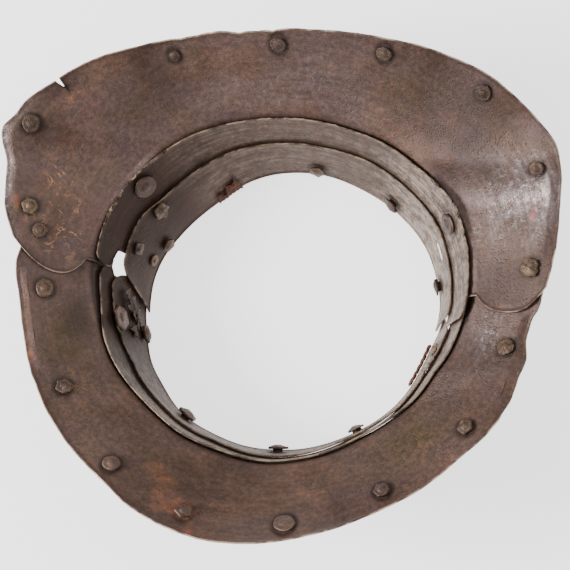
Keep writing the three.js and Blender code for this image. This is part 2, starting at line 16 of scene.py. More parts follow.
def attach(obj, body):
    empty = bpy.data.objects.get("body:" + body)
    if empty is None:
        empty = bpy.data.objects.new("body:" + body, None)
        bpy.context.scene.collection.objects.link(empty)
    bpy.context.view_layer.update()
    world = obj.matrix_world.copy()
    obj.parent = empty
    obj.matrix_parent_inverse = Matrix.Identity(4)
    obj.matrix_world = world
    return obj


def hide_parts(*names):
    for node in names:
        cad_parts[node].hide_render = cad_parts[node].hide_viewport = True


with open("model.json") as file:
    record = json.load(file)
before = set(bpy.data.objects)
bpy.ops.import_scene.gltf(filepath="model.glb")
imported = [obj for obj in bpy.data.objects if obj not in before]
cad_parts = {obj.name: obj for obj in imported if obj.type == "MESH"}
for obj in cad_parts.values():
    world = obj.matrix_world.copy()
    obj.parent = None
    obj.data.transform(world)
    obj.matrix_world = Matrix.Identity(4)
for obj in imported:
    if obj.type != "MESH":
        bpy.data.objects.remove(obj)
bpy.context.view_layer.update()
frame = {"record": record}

# %% [markdown]
# ## Sizes
# All lengths are in millimetres and become metres only when a mesh is filled. The form is drawn
# about the middle of the neck. The hinge of the frame says where that middle lies: it is known
# how far the pivot rivet stands from the middle, so the rest follows.

# %% Sizes
MM = 0.001
sheet = 1.2  # thickness of every plate and lame
lap_pitch = 1.55  # from the middle of one layer of sheet to the middle of the next
half_step = 2.1  # the front half's layers lie this much further out than the back half's
seat_gap = 0.3  # between a rivet and the sheet that it holds
collar_height = 55.0  # from the rim to the throat
throat_half = (97.0, 88.5)  # half width and half depth of the oval
rim_half = (78.0, 74.5)
back_half = (140.0, 126.0)  # half width of the flange, and its depth from the middle of the neck
front_half = (135.0, 134.0)
bend = 4.0  # length of the rounded turn on each side of the throat corner
turn_width, turn_drop = 6.5, 3.2  # of the strips along the arms that are turned over
belly = 1.5  # how far the chest and the nape sag below a straight slope
corner_round = 7.0  # at the upper corners of the lame ends
rim_fold, rim_fold_height = 1.1, 3.0  # thickness and height of the folded rim
pivot_at = (-126.5, 19.0)  # across and along, from the middle of the neck
shoulder_slope, chest_slope, nape_slope = 20.0, 40.0, 44.0  # of the flange, in degrees
side_flare = 0.39  # how hollow the collar is at its sides
flat_reach, flat_fade = 28.0, 26.0  # of the flat part round the pivot, along the body
# how far each plate turns down into the collar, also where the halves lap and beside the pivot
back_neck, front_neck, lap_neck, pivot_side_neck = 15.0, 25.0, 4.6, 17.5
# borders of the lames, below the throat, and how much higher the front one stands at the pivot
upper_lame_low, lower_lame_top, lower_lame_lift = 31.0, 23.0, 8.0
# the front upper lame starts this far below the throat, and this far where the halves lap
front_lame_sink, front_lap_sink = 2.5, 6.5
print("flange as drawn, in mm:", 2 * back_half[0], "wide and", back_half[1] + front_half[1], "deep")

# %% Layers and the middle of the neck
# how far the middle of each sheet lies outside the form
layer = {
    "back_plate": lap_pitch,
    "back_collar_lame_upper": 0.0,
    "back_collar_lame_lower": -lap_pitch,
    "front_plate": half_step + lap_pitch,
    "front_collar_lame_upper": half_step,
    "front_collar_lame_lower": half_step - lap_pitch,
}

hinge = frame["record"]["behaviour"]["joints"][0]
middle = np.array([hinge["pos_m"][0] / MM - pivot_at[0], hinge["pos_m"][1] / MM - pivot_at[1], 0.0])
print("middle of the neck, in mm:", middle.round(2))

# %% [markdown]
# ## The form that every sheet follows
# A real gorget is one bent surface in several layers, so one function of two numbers can stand
# for all of them: the angle round the neck, and the way from the throat, down the collar or out
# along the flange. Each layer is then the same surface moved along its normal. That keeps the
# gaps between layers true, which separate free-hand surfaces would not.

# %% Smooth curves, steps and bells
def curve_through(xs, ys):
    """A cubic through each row, whose slope at a row is the harmonic mean of its neighbours."""
    xs, ys = np.asarray(xs, float), np.asarray(ys, float)
    rise = np.diff(ys) / np.diff(xs)
    slopes = np.zeros(len(xs))
    same = rise[:-1] * rise[1:] > 0
    total = np.where(same, rise[:-1] + rise[1:], 1.0)
    slopes[1:-1] = np.where(same, 2 * rise[:-1] * rise[1:] / total, 0.0)
    slopes[0], slopes[-1] = rise[0], rise[-1]

    def at(x):
        i = np.clip(np.searchsorted(xs, x, side="right") - 1, 0, len(xs) - 2)
        step = xs[i + 1] - xs[i]
        t = (x - xs[i]) / step
        low = (1 + 2 * t) * (1 - t) ** 2 * ys[i] + t * (1 - t) ** 2 * step * slopes[i]
        high = t * t * (3 - 2 * t) * ys[i + 1] + t * t * (t - 1) * step * slopes[i + 1]
        return low + high

    return at


def smooth(t):
    """3t^2 - 2t^3 between 0 and 1, flat outside."""
    t = np.clip(t, 0, 1)
    return t * t * (3 - 2 * t)


def between(angle, low, high, fade):
    """1 from low to high, fading to 0 over fade degrees outside."""
    return smooth((angle - low) / fade + 1) * smooth((high - angle) / fade + 1)


def bell(distance, width):
    """exp(-(distance / width)^2)."""
    return np.exp(-(distance / width) ** 2)


print("a curve through (0, 0), (1, 1) and (2, 0), at 0.5:", curve_through([0, 1, 2], [0, 1, 0])(0.5))

# %% [markdown]
# ## Outlines
# An old gorget is no longer a true oval. It was hammered by eye, and it has been bent since. The
# throat and the rim are ovals times a share that changes round the neck. The outer edges are
# polar curves through a few points, each a share of the half width and the depth. The outline
# follows when a size is changed, which it wouldn't if it were a list of places in millimetres.

# %% The throat and the rim
# angle from +X, share of the throat oval, share of the rim oval
out_of_true = [
    (0, 0.985, 1.0), (20, 1.02, 1.01), (32, 1.04, 1.01), (45, 1.02, 1.008), (60, 1.015, 1.005),
    (90, 1.02, 1.02), (115, 1.03, 1.015), (135, 1.04, 0.985), (150, 1.045, 0.99),
    (165, 1.03, 1.015), (180, 1.005, 1.025), (195, 0.975, 1.03), (210, 0.965, 1.045),
    (225, 0.955, 1.055), (245, 0.97, 1.04), (270, 0.975, 1.005), (290, 0.965, 0.975),
    (305, 0.94, 0.965), (322, 0.93, 0.97), (335, 0.93, 0.97), (347, 0.96, 0.965),
]


def share_around(column):
    """The table repeated over three turns, so that the curve closes on itself."""
    turns = [(row[0] + turn, row[column]) for turn in (-360, 0, 360) for row in out_of_true]
    return curve_through([t[0] for t in turns], [t[1] for t in turns])


throat_share, rim_share = share_around(1), share_around(2)


def oval(half, angle):
    """Radius of an ellipse in its own direction: 1 / hypot(cos / a, sin / b)."""
    t = np.radians(angle)
    return 1 / np.hypot(np.cos(t) / half[0], np.sin(t) / half[1])


def throat_radius(angle):
    """The throat's oval, times its share at that angle."""
    return oval(throat_half, angle) * throat_share(np.mod(angle, 360))


def rim_radius(angle):
    """The rim's oval, times its share at that angle."""
    return oval(rim_half, angle) * rim_share(np.mod(angle, 360))


quarters = np.array([0.0, 90.0, 180.0, 270.0])
print("throat radius at each quarter, in mm:", throat_radius(quarters).round(1))
print("rim radius at each quarter, in mm:", rim_radius(quarters).round(1))

# %% The outer edges
# share of the half width across, share of the depth along
back_edge = [
    (0.957, -0.1), (0.963, 0.02), (0.979, 0.122), (0.996, 0.394), (0.986, 0.565), (0.964, 0.635),
    (0.914, 0.698), (0.757, 0.843), (0.55, 0.937), (0.264, 0.995), (0.0, 1.0), (-0.357, 0.954),
    (-0.561, 0.902), (-0.736, 0.835), (-0.902, 0.717), (-1.02, 0.606), (-1.059, 0.556),
    (-1.033, 0.406), (-1.026, 0.305), (-0.993, 0.115), (-0.957, -0.016), (-0.93, -0.1),
]
front_edge = [
    (-0.975, 0.25), (-0.99, 0.12), (-0.995, 0.022), (-0.957, -0.14), (-0.922, -0.272),
    (-0.852, -0.479), (-0.739, -0.634), (-0.581, -0.773), (-0.4, -0.9), (-0.25, -0.958),
    (-0.09, -0.985), (0.045, -0.98), (0.268, -0.918), (0.522, -0.785), (0.727, -0.607),
    (0.832, -0.495), (0.878, -0.42), (0.92, -0.26), (0.95, -0.143), (0.963, -0.057),
    (0.978, 0.06), (0.985, 0.16), (0.975, 0.25),
]


def edge_radius(rows, half, turn):
    """Polar radius of an outline given by shares across and along."""
    x = np.array([row[0] for row in rows]) * half[0]
    y = np.array([row[1] for row in rows]) * half[1]
    angle = np.degrees(np.arctan2(y, x))
    return curve_through(np.where(angle < turn, angle + 360, angle), np.hypot(x, y))


outline = {
    "back": edge_radius(back_edge, back_half, -90),
    "front": edge_radius(front_edge, front_half, 90),
}


def drawn_reach(half, angle):
    """Radius of the edge as drawn, with its angles unwrapped the way its table runs."""
    turn = np.mod(angle, 360)
    if half == "back":
        return outline[half](np.where(turn > 270, turn - 360, turn))
    return outline[half](np.where(turn < 90, turn + 360, turn))


print("the back's edge at the nape, in mm:", round(float(drawn_reach("back", 90.0)), 1))

# %% Edges spread by the hammer
# half, low and high angle, fade, mm by which hammering has spread the edge there
spread_edges = [
    ("back", 50, 90, 8, 1.0), ("back", 109, 149, 6, 1.8), ("back", 159.5, 165, 8, 3.6),
    ("back", 169, 172, 3, 1.2), ("front", 184, 199, 9, 4.2), ("front", 243, 334, 6, 0.8),
    ("front", 340, 348, 5, 3.2), ("front", 359, 380, 3, 1.5), ("front", -20, 8, 4, 1.5),
]


def reach(half, angle):
    """Radius of the outer edge of one half, spread where the hammer worked."""
    turn, radius = np.mod(angle, 360), drawn_reach(half, angle)
    for row_half, low, high, fade, spread in spread_edges:
        if row_half == half:
            radius = radius + spread * between(turn, low, high, fade)
    return radius


print("the front's edge at the open shoulder, in mm:", round(float(reach("front", 345.0)), 1))

# %% [markdown]
# ## Height and hammer marks
# The flange rises from the throat, more steeply at chest and nape than over the shoulders, where
# it is flat so that the halves can turn on each other. Smiths planish such a sheet, which leaves
# it faintly wavy. The waves are a sum of sines here, not a texture, so they catch the light as
# steel does and show on the edges too.

# %% Hammer marks
rng = np.random.default_rng(7)
wave_count = 14
wave_length = np.linspace(16.0, 75.0, wave_count)
wave_height = 0.003  # of its length
wave_way = rng.normal(size=(wave_count, 3))
wave_way /= np.linalg.norm(wave_way, axis=1)[:, None]
wave_shift = rng.uniform(0, 2 * np.pi, wave_count)


def hammered(points):
    """Planished unevenness in mm: the sum of plane waves, each as high as 0.3 % of its length."""
    phase = points @ (wave_way / wave_length[:, None]).T * 2 * np.pi + wave_shift
    return np.sum(np.sin(phase) * wave_length * wave_height, axis=-1)


print("hammer waves:", wave_count, "at most", round(float(wave_length.sum() * wave_height), 2), "mm in all")

# %% The form before the throat is rounded
# where the outer strip is turned over, as low and high angle
turned = {"back": [(17, 25), (154, 165)], "front": [(184, 200), (340, 354)]}
turned_fade = 7.0
crease = 0.12  # how softly the strip breaks off, as a share of its width


def corner(half, angle, w):
    """Radius and height before the throat is rounded.
    Below the throat the radius goes from the rim's to the throat's by a power of the height.
    Beyond it the height is the slope times w, less a belly, blended to a flat shoulder.
    Along the arms the border folds down in a straight line past a crease."""
    throat, rim = throat_radius(angle), rim_radius(angle)
    cos, sin = np.cos(np.radians(angle)), np.sin(np.radians(angle))
    up = np.clip(1 + np.minimum(w, 0) / collar_height, 0, None)
    r_low = rim + (throat - rim) * up ** (1 + side_flare * cos**2)
    total = reach(half, angle) - throat
    out = np.maximum(w, 0)
    r_out = throat + out
    steep = np.abs(sin) ** 3
    end = np.where(sin > 0, nape_slope, chest_slope)
    slope = np.radians(shoulder_slope + (end - shoulder_slope) * steep)
    rising = collar_height + np.tan(slope) * out
    rising = rising - belly * steep * np.sin(np.pi * np.minimum(out / total, 1))
    level = np.where(cos > 0, throat_radius(np.array(0.0)), throat_radius(np.array(180.0)))
    flat = collar_height + math.tan(math.radians(shoulder_slope)) * (np.abs(r_out * cos) - level)
    off = np.abs(r_out * sin - pivot_at[1]) - flat_reach
    z_out = rising + (flat - rising) * (1 - smooth(off / flat_fade))
    past = (w - total) / turn_width + 1
    folded = (past + np.sqrt(past**2 + crease**2)) / 2
    for low, high in turned[half]:
        z_out = z_out - turn_drop * folded * between(np.mod(angle, 360), low, high, turned_fade)
    below = w <= 0
    return np.where(below, r_low, r_out), np.where(below, collar_height * up, z_out)


nape = corner("back", np.array(90.0), np.array(30.0))
print("30 mm out at the nape: radius", round(float(nape[0]), 1), "height", round(float(nape[1]), 1))


# %% Points and normals of the form
def form(half, angle, w, rounded):
    """The corner at w = 0 is replaced by a quadratic curve from -bend to +bend."""
    r, z = corner(half, angle, w)
    if rounded:
        t = np.clip((w + bend) / (2 * bend), 0, 1)
        parts = [corner(half, angle, np.full_like(w, at)) for at in (-bend, 0.0, bend)]
        weights = [(1 - t) ** 2, 2 * t * (1 - t), t * t]
        near = np.abs(w) < bend
        r = np.where(near, sum(k * p[0] for k, p in zip(weights, parts)), r)
        z = np.where(near, sum(k * p[1] for k, p in zip(weights, parts)), z)
    t = np.radians(angle)
    return np.stack([r * np.cos(t), r * np.sin(t), z], -1)


def sample(half, angle, w, rounded=True):
    """A hammered point of the form and its normal, which points away from the neck."""
    angle, w = np.broadcast_arrays(np.asarray(angle, float), np.asarray(w, float))
    small = 0.25
    along = form(half, angle + small, w, rounded) - form(half, angle - small, w, rounded)
    up = form(half, angle, w + small, rounded) - form(half, angle, w - small, rounded)
    normal = np.cross(along, up)
    normal /= np.linalg.norm(normal, axis=-1)[..., None]
    point = form(half, angle, w, rounded)
    return point + normal * hammered(point)[..., None], normal


print("the throat at the nape, in mm:", sample("back", 90.0, 0.0)[0].round(1))

# %% [markdown]
# ## From grids to closed sheets
# A sheet of steel is two grids, its inner and its outer face, joined round the rim. Near each
# border the wall thins along a quarter circle, which rounds the edge off. The grid also carries
# what the finishes need: a map in metres along the sheet, and a few masks, such as how near a
# point is to an edge. They are worked out from the same two numbers as the shape.

# %% Fill a mesh from arrays
def fill(name, points, quads, triangles=(), masks=None, uv=None):
    """One mesh from whole arrays: corners in mm about the neck, faces, masks and a map.
    A corner's place in metres is (its place in mm + the middle of the neck) / 1000."""
    mesh = bpy.data.meshes.new(name)
    faces = [*np.asarray(quads).tolist(), *np.asarray(triangles, int).tolist()]
    mesh.from_pydata(((points + middle) * MM).tolist(), [], faces)
    mesh.polygons.foreach_set("use_smooth", np.ones(len(mesh.polygons), bool))
    for mask, values in (masks or {}).items():
        layer_data = mesh.attributes.new(mask, "FLOAT", "POINT").data
        layer_data.foreach_set("value", np.asarray(values, np.float32).ravel())
    if uv is not None:
        corners = np.empty(len(mesh.loops), int)
        mesh.loops.foreach_get("vertex_index", corners)
        mesh.uv_layers.new(name="sheet").data.foreach_set("uv", (uv * MM)[corners].ravel())
    mesh.update()
    piece = bpy.data.objects.new(name, mesh)
    bpy.context.scene.collection.objects.link(piece)
    return piece


print("pieces are filled about", (middle * MM).round(4), "m")


# %% Walls round a hole
def hole_walls(at, far, hole):
    """Quads round a hole: wherever a cell of the hole meets a cell of sheet, one wall."""
    i, j = np.nonzero(hole[1:] & ~hole[:-1])
    walls = [np.stack([far[i + 1, j], at[i + 1, j], at[i + 1, j + 1], far[i + 1, j + 1]], -1)]
    i, j = np.nonzero(hole[:-1] & ~hole[1:])
    walls.append(np.stack([at[i + 1, j], far[i + 1, j], far[i + 1, j + 1], at[i + 1, j + 1]], -1))
    i, j = np.nonzero(hole[:, 1:] & ~hole[:, :-1])
    walls.append(np.stack([far[i, j + 1], far[i + 1, j + 1], at[i + 1, j + 1], at[i, j + 1]], -1))
    i, j = np.nonzero(hole[:, :-1] & ~hole[:, 1:])
    walls.append(np.stack([at[i, j + 1], at[i + 1, j + 1], far[i + 1, j + 1], far[i, j + 1]], -1))
    return walls


small_grid = np.arange(16).reshape(4, 4)
small_hole = np.zeros((3, 3), bool)
small_hole[1, 1] = True
small_walls = hole_walls(small_grid, small_grid + small_grid.size, small_hole)
print("walls round a hole of one cell:", sum(len(wall) for wall in small_walls))


# %% Close two grids into one skin
def shell(name, inner, outer, masks, uv, hole=None):
    """Two grids of points, columns by rows, closed into one skin with its faces out."""
    columns, rows = inner.shape[:2]
    at = np.arange(columns * rows).reshape(columns, rows)
    far = at + columns * rows
    a, b, c, d = at[:-1, :-1], at[1:, :-1], at[1:, 1:], at[:-1, 1:]
    move = columns * rows
    kept = np.ones(a.shape, bool) if hole is None else ~hole
    faces = [
        np.stack([a, d, c, b], -1)[kept],
        np.stack([a, b, c, d], -1)[kept] + move,
        np.stack([at[:-1, 0], at[1:, 0], far[1:, 0], far[:-1, 0]], -1),
        np.stack([far[:-1, -1], far[1:, -1], at[1:, -1], at[:-1, -1]], -1),
        np.stack([at[0, :-1], far[0, :-1], far[0, 1:], at[0, 1:]], -1),
        np.stack([far[-1, :-1], at[-1, :-1], at[-1, 1:], far[-1, 1:]], -1),
    ]
    if hole is not None:
        faces += hole_walls(at, far, hole)
    spread = {key: np.broadcast_to(value, (columns, rows)).ravel() for key, value in masks.items()}
    both = {key: np.tile(value, 2) for key, value in spread.items()}
    points = np.concatenate([inner.reshape(-1, 3), outer.reshape(-1, 3)])
    piece = fill(name, points, np.concatenate(faces), masks=both, uv=np.tile(uv.reshape(-1, 2), (2, 1)))
    print(name, len(piece.data.polygons), "faces")
    return piece


# %% Rounded borders
round_length = 0.6  # mm from the edge over which the wall thins
least_wall = 0.05  # share of the wall that is left on the edge itself
wear_width = 0.75  # mm over which the wear fades


def rounded_wall(distance):
    """Share of the wall left at a distance from the edge: a quarter circle, never quite 0."""
    return np.maximum(np.sqrt(np.clip(1 - (1 - distance / round_length) ** 2, 0, 1)), least_wall)


def wear_near(distance):
    """1 on the edge, gone about 1.5 mm from it."""
    return bell(distance, wear_width)


border_distances = np.array([0.0, 0.1, 0.3, 0.6])
print("share of the wall left, from the edge inwards:", rounded_wall(border_distances).round(2))

# %% [markdown]
# ## Marks of age
# The plates have dents, a crack in the upper edge, rust in patches and a web of thin scratches.
# Large ones could be sculpted and small ones painted, but no image is used here. Each is a row
# in a short table: where it lies and how wide it is. Dents move the surface, and stains fill a
# mask that the material reads.

# %% Dents
# half, angle, distance from the outer edge, width, depth away from the eye
dents = [
    ("back", 145.0, 8.7, 5.5, 1.0),
    ("back", 139.0, 9.0, 14.0, 0.9),
    ("back", 144.0, 35.0, 5.0, -0.7),
    ("back", 120.0, 20.0, 22.0, 0.8),
    ("back", 60.0, 22.0, 24.0, 0.7),
    ("back", 33.0, 26.0, 12.0, -0.5),
    ("back", 24.0, 20.0, 10.0, 0.5),
    ("front", 209.0, 24.0, 13.0, 0.7),
    ("front", 233.0, 18.0, 16.0, -0.6),
    ("front", 262.0, 22.0, 18.0, 0.7),
    ("front", 300.0, 14.0, 18.0, -0.6),
    ("front", 335.0, 22.0, 14.0, 0.7),
]
print("dents:", len(dents), "the deepest", max(abs(row[4]) for row in dents), "mm")

# %% Stains
# mask, half, angle, distance from the outer edge, width round, width across, strength
stains = [
    ("rust", "back", 141.0, 14.0, 13.0, 10.0, 0.8),
    ("rust", "back", 150.0, 33.0, 9.0, 12.0, 0.55),
    ("rust", "back", 166.0, 7.0, 20.0, 3.0, 0.7),
    ("rust", "back", 170.0, 24.0, 9.0, 12.0, 0.6),
    ("rust", "back", 50.0, 26.0, 16.0, 10.0, 0.35),
    ("rust", "front", 253.0, 12.0, 16.0, 9.0, 1.0),
    ("rust", "front", 245.0, 20.0, 15.0, 12.0, 0.7),
    ("rust", "front", 263.0, 3.0, 22.0, 4.0, 0.7),
    ("rust", "front", 197.0, 2.0, 18.0, 3.0, 0.7),
    ("rust", "front", 320.0, 14.0, 24.0, 12.0, 0.45),
    ("rust", "front", 285.0, 24.0, 20.0, 10.0, 0.4),
    ("veins", "back", 161.5, 33.0, 12.0, 7.0, 1.0),
    ("veins", "back", 168.0, 31.0, 11.0, 6.0, 1.0),
    ("veins", "back", 171.0, 20.0, 9.0, 9.0, 0.7),
    ("veins", "back", 143.0, 12.0, 10.0, 7.0, 0.15),
    ("veins", "front", 212.0, 16.0, 14.0, 12.0, 0.22),
    ("veins", "front", 262.0, 20.0, 14.0, 12.0, 0.15),
    ("veins", "front", 318.0, 18.0, 10.0, 6.0, 0.2),
    # bare rows: lighter worn metal; at 21, 25 and 161 degrees on the back they lie where the plate catches
    # the lamp, so there it is also a painted highlight
    ("bare", "back", 25.0, 26.0, 17.0, 20.0, 0.9),
    ("bare", "back", 21.0, 11.0, 14.0, 6.0, 0.9),
    ("bare", "back", 92.0, 24.0, 50.0, 16.0, 0.15),
    ("bare", "back", 161.0, 1.0, 26.0, 2.6, 0.9),
    ("bare", "front", 352.0, 22.0, 14.0, 10.0, 0.5),
    ("olive", "front", 199.0, 22.0, 22.0, 14.0, 1.0),
    ("olive", "front", 275.0, 26.0, 26.0, 8.0, 0.7),
    ("olive", "front", 250.0, 22.0, 55.0, 18.0, 0.7),
    ("olive", "front", 315.0, 24.0, 26.0, 14.0, 1.0),
    ("olive", "back", 58.0, 20.0, 18.0, 12.0, 0.8),
    ("olive", "back", 134.0, 30.0, 14.0, 9.0, 0.7),
    # soot rows: each darkens the plate in a patch; the same mask also carries painted shade
    ("soot_and_painted_shade", "back", 142.0, 3.0, 9.0, 5.0, 0.8),
    ("soot_and_painted_shade", "front", 192.0, 30.0, 16.0, 9.0, 0.7),
    ("soot_and_painted_shade", "back", 36.0, 34.0, 16.0, 7.0, 0.5),
    ("soot_and_painted_shade", "back", 4.0, 22.0, 18.0, 18.0, 0.62),
    ("soot_and_painted_shade", "back", 46.0, 20.0, 24.0, 18.0, 0.46),
    ("soot_and_painted_shade", "front", 342.0, 22.0, 26.0, 18.0, 0.46),
    ("soot_and_painted_shade", "back", 128.0, 20.0, 24.0, 16.0, 0.22),
    ("pink", "back", 20.5, 15.5, 2.2, 1.6, 1.0),
]
stain_kinds = ("rust", "veins", "bare", "olive", "soot_and_painted_shade", "pink")
print("stains:", {kind: sum(row[0] == kind for row in stains) for kind in stain_kinds})

# %% The crack and the chips
crack = {
    "half": "back", "angle": 142.5, "depth": 5.4, "width": 1.0, "taper": 0.7, "lift": 1.1, "lift_width": 9.0,
}
chip_width = 1.6
# angle, depth
chips = [(96.0, 0.35), (99.5, 0.2), (103.5, 0.3), (110.0, 0.25), (117.0, 0.2)]
print("the crack is", crack["depth"], "mm deep, beside", len(chips), "chips")


# %% Dents and stains on a grid
def arc(angle, at, radius):
    """Millimetres round from one angle to another."""
    return np.radians(angle - at) * radius


def dented(half, angle, inset, radius):
    """Sum of bells along the normal, in mm."""
    deep = np.zeros_like(angle)
    for row_half, at, at_inset, width, depth in dents:
        if row_half == half:
            deep += depth * bell(np.hypot(arc(angle, at, radius), inset - at_inset), width)
    return deep


def stained(half, angle, inset, radius):
    """Each mask is 1 minus the product of what every stain leaves clean."""
    masks = {key: np.ones_like(angle) for key in stain_kinds}
    for mask, row_half, at, at_inset, round_width, across, strength in stains:
        if row_half == half:
            far = np.hypot(arc(angle, at, radius) / round_width, (inset - at_inset) / across)
            masks[mask] *= 1 - strength * bell(far, 1.0)
    return {key: 1 - value for key, value in masks.items()}


print("in the deepest back dent, in mm:", round(float(dented("back", np.array(145.0), 8.7, 125.0)), 2))

# %% [markdown]
# ## Rivets in a table
# The rivets fasten lames to plates, and the row along the border once held a lining. Seen from
# inside, most show a small bur, a washer that the end of the rivet was hammered over. The table
# gives each one the sheets that it holds, its place and the form of its bur. The plates read
# the same table, because a dark ring of painted shade is laid round each bur.

# %% Forms of rivet
# bur is the radius of the washer that the end is hammered over, head that of the outer head. Sides
# is 0 for a round bur, stand is its distance from the sheet, peen the share of the bur that the
# hammered end covers, ragged and tilt how uneven it is, and darkening how much darker it is made
domed = {"bur": 4.1, "bur_height": 1.2, "head": 3.4, "head_height": 1.6, "shank": 2.2, "sides": 0}
burred = {"bur": 5.0, "bur_height": 1.2, "head": 4.2, "head_height": 1.5, "shank": 2.2, "sides": 0}
small = {"bur": 2.4, "bur_height": 0.7, "head": 3.0, "head_height": 1.2, "shank": 1.5, "sides": 0}
lining = {
    "bur": 4.6, "bur_height": 1.3, "head": 3.0, "head_height": 1.3, "shank": 2.6, "sides": 5,
    "stand": 0.7, "peen": 0.72, "darkening": 0.5,
}
forms = {"domed": domed, "burred": burred, "small": small, "lining": lining}
print("width over the bur, in mm:", {name: 2 * form_row["bur"] for name, form_row in forms.items()})

# %% Border rivets
# angle, distance from the outer edge, changes to the domed form
border_rivets = {
    "back": [
        (152.0, 9.0, {"bur": 4.7, "tilt": 0.5}),
        (167.0, 10.6, {"sides": 6, "bur": 4.3}),
        (119.8, 5.6, {"bur_height": 0.3, "bur": 2.9, "peen": 0.8, "darkening": 0.5}),
        (95.0, 5.6, {"bur_height": 0.3, "bur": 4.0, "peen": 0.7, "darkening": 0.4}),
        (69.5, 5.6, {"bur_height": 0.5, "bur": 3.9, "ragged": 0.2, "darkening": 0.3}),
        (47.0, 8.0, {"bur_height": 0.4, "bur": 4.3, "ragged": 0.2, "darkening": 0.4}),
        (28.5, 13.0, {"bur": 3.7, "tilt": 0.3}),
    ],
    "front": [
        (184.9, 11.2, {"bur": 4.7}),
        (210.2, 12.6, {"bur": 4.2, "sides": 6}),
        (233.7, 8.4, {"bur": 4.5, "tilt": 0.5}),
        (255.4, 10.0, {"bur": 4.4, "sides": 5}),
        (279.2, 8.4, {"bur": 5.5, "bur_height": 0.7}),
        (303.1, 8.4, {"bur": 4.3, "sides": 6}),
        (328.0, 9.8, {"bur": 4.2, "sides": 5}),
        (349.8, 10.4, {"bur": 4.3, "ragged": 0.3}),
    ],
}
# name, sheets held, angle, w or (distance from the edge,), form, changes
rivet_rows = [
    ("%s_border_rivet_%d" % (half, i + 1), [half + "_plate"], angle, (inset,), domed, changes)
    for half, rows in border_rivets.items()
    for i, (angle, inset, changes) in enumerate(rows)
]
print("border rivets:", len(rivet_rows))

# %% Rivets of the lames
back_lower, front_lower = "back_collar_lame_lower", "front_collar_lame_lower"
back_upper, front_upper = "back_collar_lame_upper", "front_collar_lame_upper"
rivet_rows += [
    ("back_upper_lame_rivet_pivot_side", [back_upper, "back_plate"], 147.4, -9.0, burred,
     {"bur": 6.6, "bur_height": 1.0, "peen": 0.42, "darkening": 0.6}),
    ("back_upper_lame_rivet_open_side", [back_upper, "back_plate"], 27.7, -10.5, burred,
     {"bur": 5.6, "bur_height": 1.5}),
    ("back_lower_lame_rivet_1", [back_lower, back_upper], 149.9, -26.8, burred,
     {"bur": 5.2, "head": 3.4, "sides": 5, "bur_height": 1.7, "ragged": 0.3, "darkening": 0.3}),
    ("back_lower_lame_rivet_2", [back_lower, back_upper], 165.9, -27.4, burred,
     {"bur": 4.2, "head": 3.2, "sides": 4, "darkening": 0.4}),
    ("back_lower_lame_rivet_3", [back_lower], 166.3, -45.0, small, {"bur": 3.2, "bur_height": 1.0}),
    ("front_lame_rivet_pivot_side", [front_lower, front_upper, "front_plate"], 192.1, -19.5, burred,
     {"bur": 6.8, "sides": 6, "bur_height": 1.4, "peen": 0.38}),
    ("front_lame_rivet_open_side", [front_lower, front_upper], 345.9, -28.0, burred,
     {"bur": 3.4, "head": 2.6, "shank": 1.5, "ragged": 0.35}),
]
# lame, angle, w, changes
lining_rivets = [
    (back_lower, 86.4, -48.5, {}),
    (back_lower, 52.4, -48.5, {"tilt": 0.9}),
    (back_lower, 13.0, -48.5, {"tilt": 0.6}),
    (back_lower, 158.0, -48.5, {"bur": 4.2}),
    (front_lower, 195.0, -47.5, {"bur": 4.9, "bur_height": 1.8}),
    (front_lower, 231.0, -48.5, {"bur": 5.6, "bur_height": 2.0, "tilt": 0.4}),
    (front_lower, 270.0, -48.5, {"bur": 5.3}),
    (front_lower, 303.0, -48.5, {"tilt": 0.9}),
]
rivet_rows += [
    ("lining_rivet_%d" % (i + 1), [lame], angle, w, lining, changes)
    for i, (lame, angle, w, changes) in enumerate(lining_rivets)
]
print("rivets with those of the lames and the lining:", len(rivet_rows))

# %% Pivot rivet and closing stud
pivot_angle = math.degrees(math.atan2(pivot_at[1], pivot_at[0]))
stud_angle = 180 - pivot_angle
pivot_reach = math.hypot(*pivot_at)
pivot_w, stud_w = (
    float(pivot_reach - throat_radius(np.array(angle))) for angle in (pivot_angle, stud_angle)
)
rivet_rows += [
    ("pivot_rivet", ["back_plate", "front_plate"], pivot_angle, pivot_w, burred,
     {"bur": 3.6, "bur_height": 0.35, "peen": 0.7, "head": 4.4}),
    ("closing_stud", ["back_plate"], stud_angle, stud_w, burred,
     {"bur": 4.9, "bur_height": 1.3, "peen": 0.8, "ragged": 0.5, "head": 5.4, "passes": "front_plate"}),
]
print("pivot at", round(pivot_angle, 1), "degrees, stud at", round(stud_angle, 1), "degrees")


# %% Places of the rivets and the painted shade round them
# painted shade: a dark ring at the foot of each bur, on the sheet that it sits on
shade_ring_gap, shade_ring_width = 0.3, 1.3  # mm from the bur to the middle of its ring, and how wide that is


def rivet_w(held, angle, place):
    """The way from the throat, also where the place is given as a distance from the edge."""
    if not isinstance(place, tuple):
        return place
    half = held[0].split("_")[0]
    return float(drawn_reach(half, np.array(angle)) - throat_radius(np.array(angle)) - place[0])


def ring_of_painted_shade(name, angle, w, radius):
    """A dark ring of painted shade just outside each bur on this sheet."""
    dark = np.zeros_like(angle)
    for _, held, at, place, base, changes in rivet_rows:
        if name in held and min(held, key=layer.get) == name:
            bur = changes.get("bur", base["bur"])
            far = np.hypot(arc(np.mod(angle, 360), np.mod(at, 360), radius), w - rivet_w(held, at, place))
            dark = np.maximum(dark, bell(far - bur - shade_ring_gap, shade_ring_width) * (far > bur * 0.6))
    return dark


print("border rivet 1 of the back is at w =", round(rivet_w(["back_plate"], 152.0, (9.0,)), 1), "mm")

# %% [markdown]
# ## The flange plates
# Each plate is a broad band with round lobes at both ends. Its inner border is turned down into
# the collar and, along the arms, its outer border is turned over. One grid covers the whole band:
# its columns run from lobe to lobe and its rows from the neck to the outer edge. Rows and columns
# crowd together at the borders and at the crack, where the shape changes quickly.

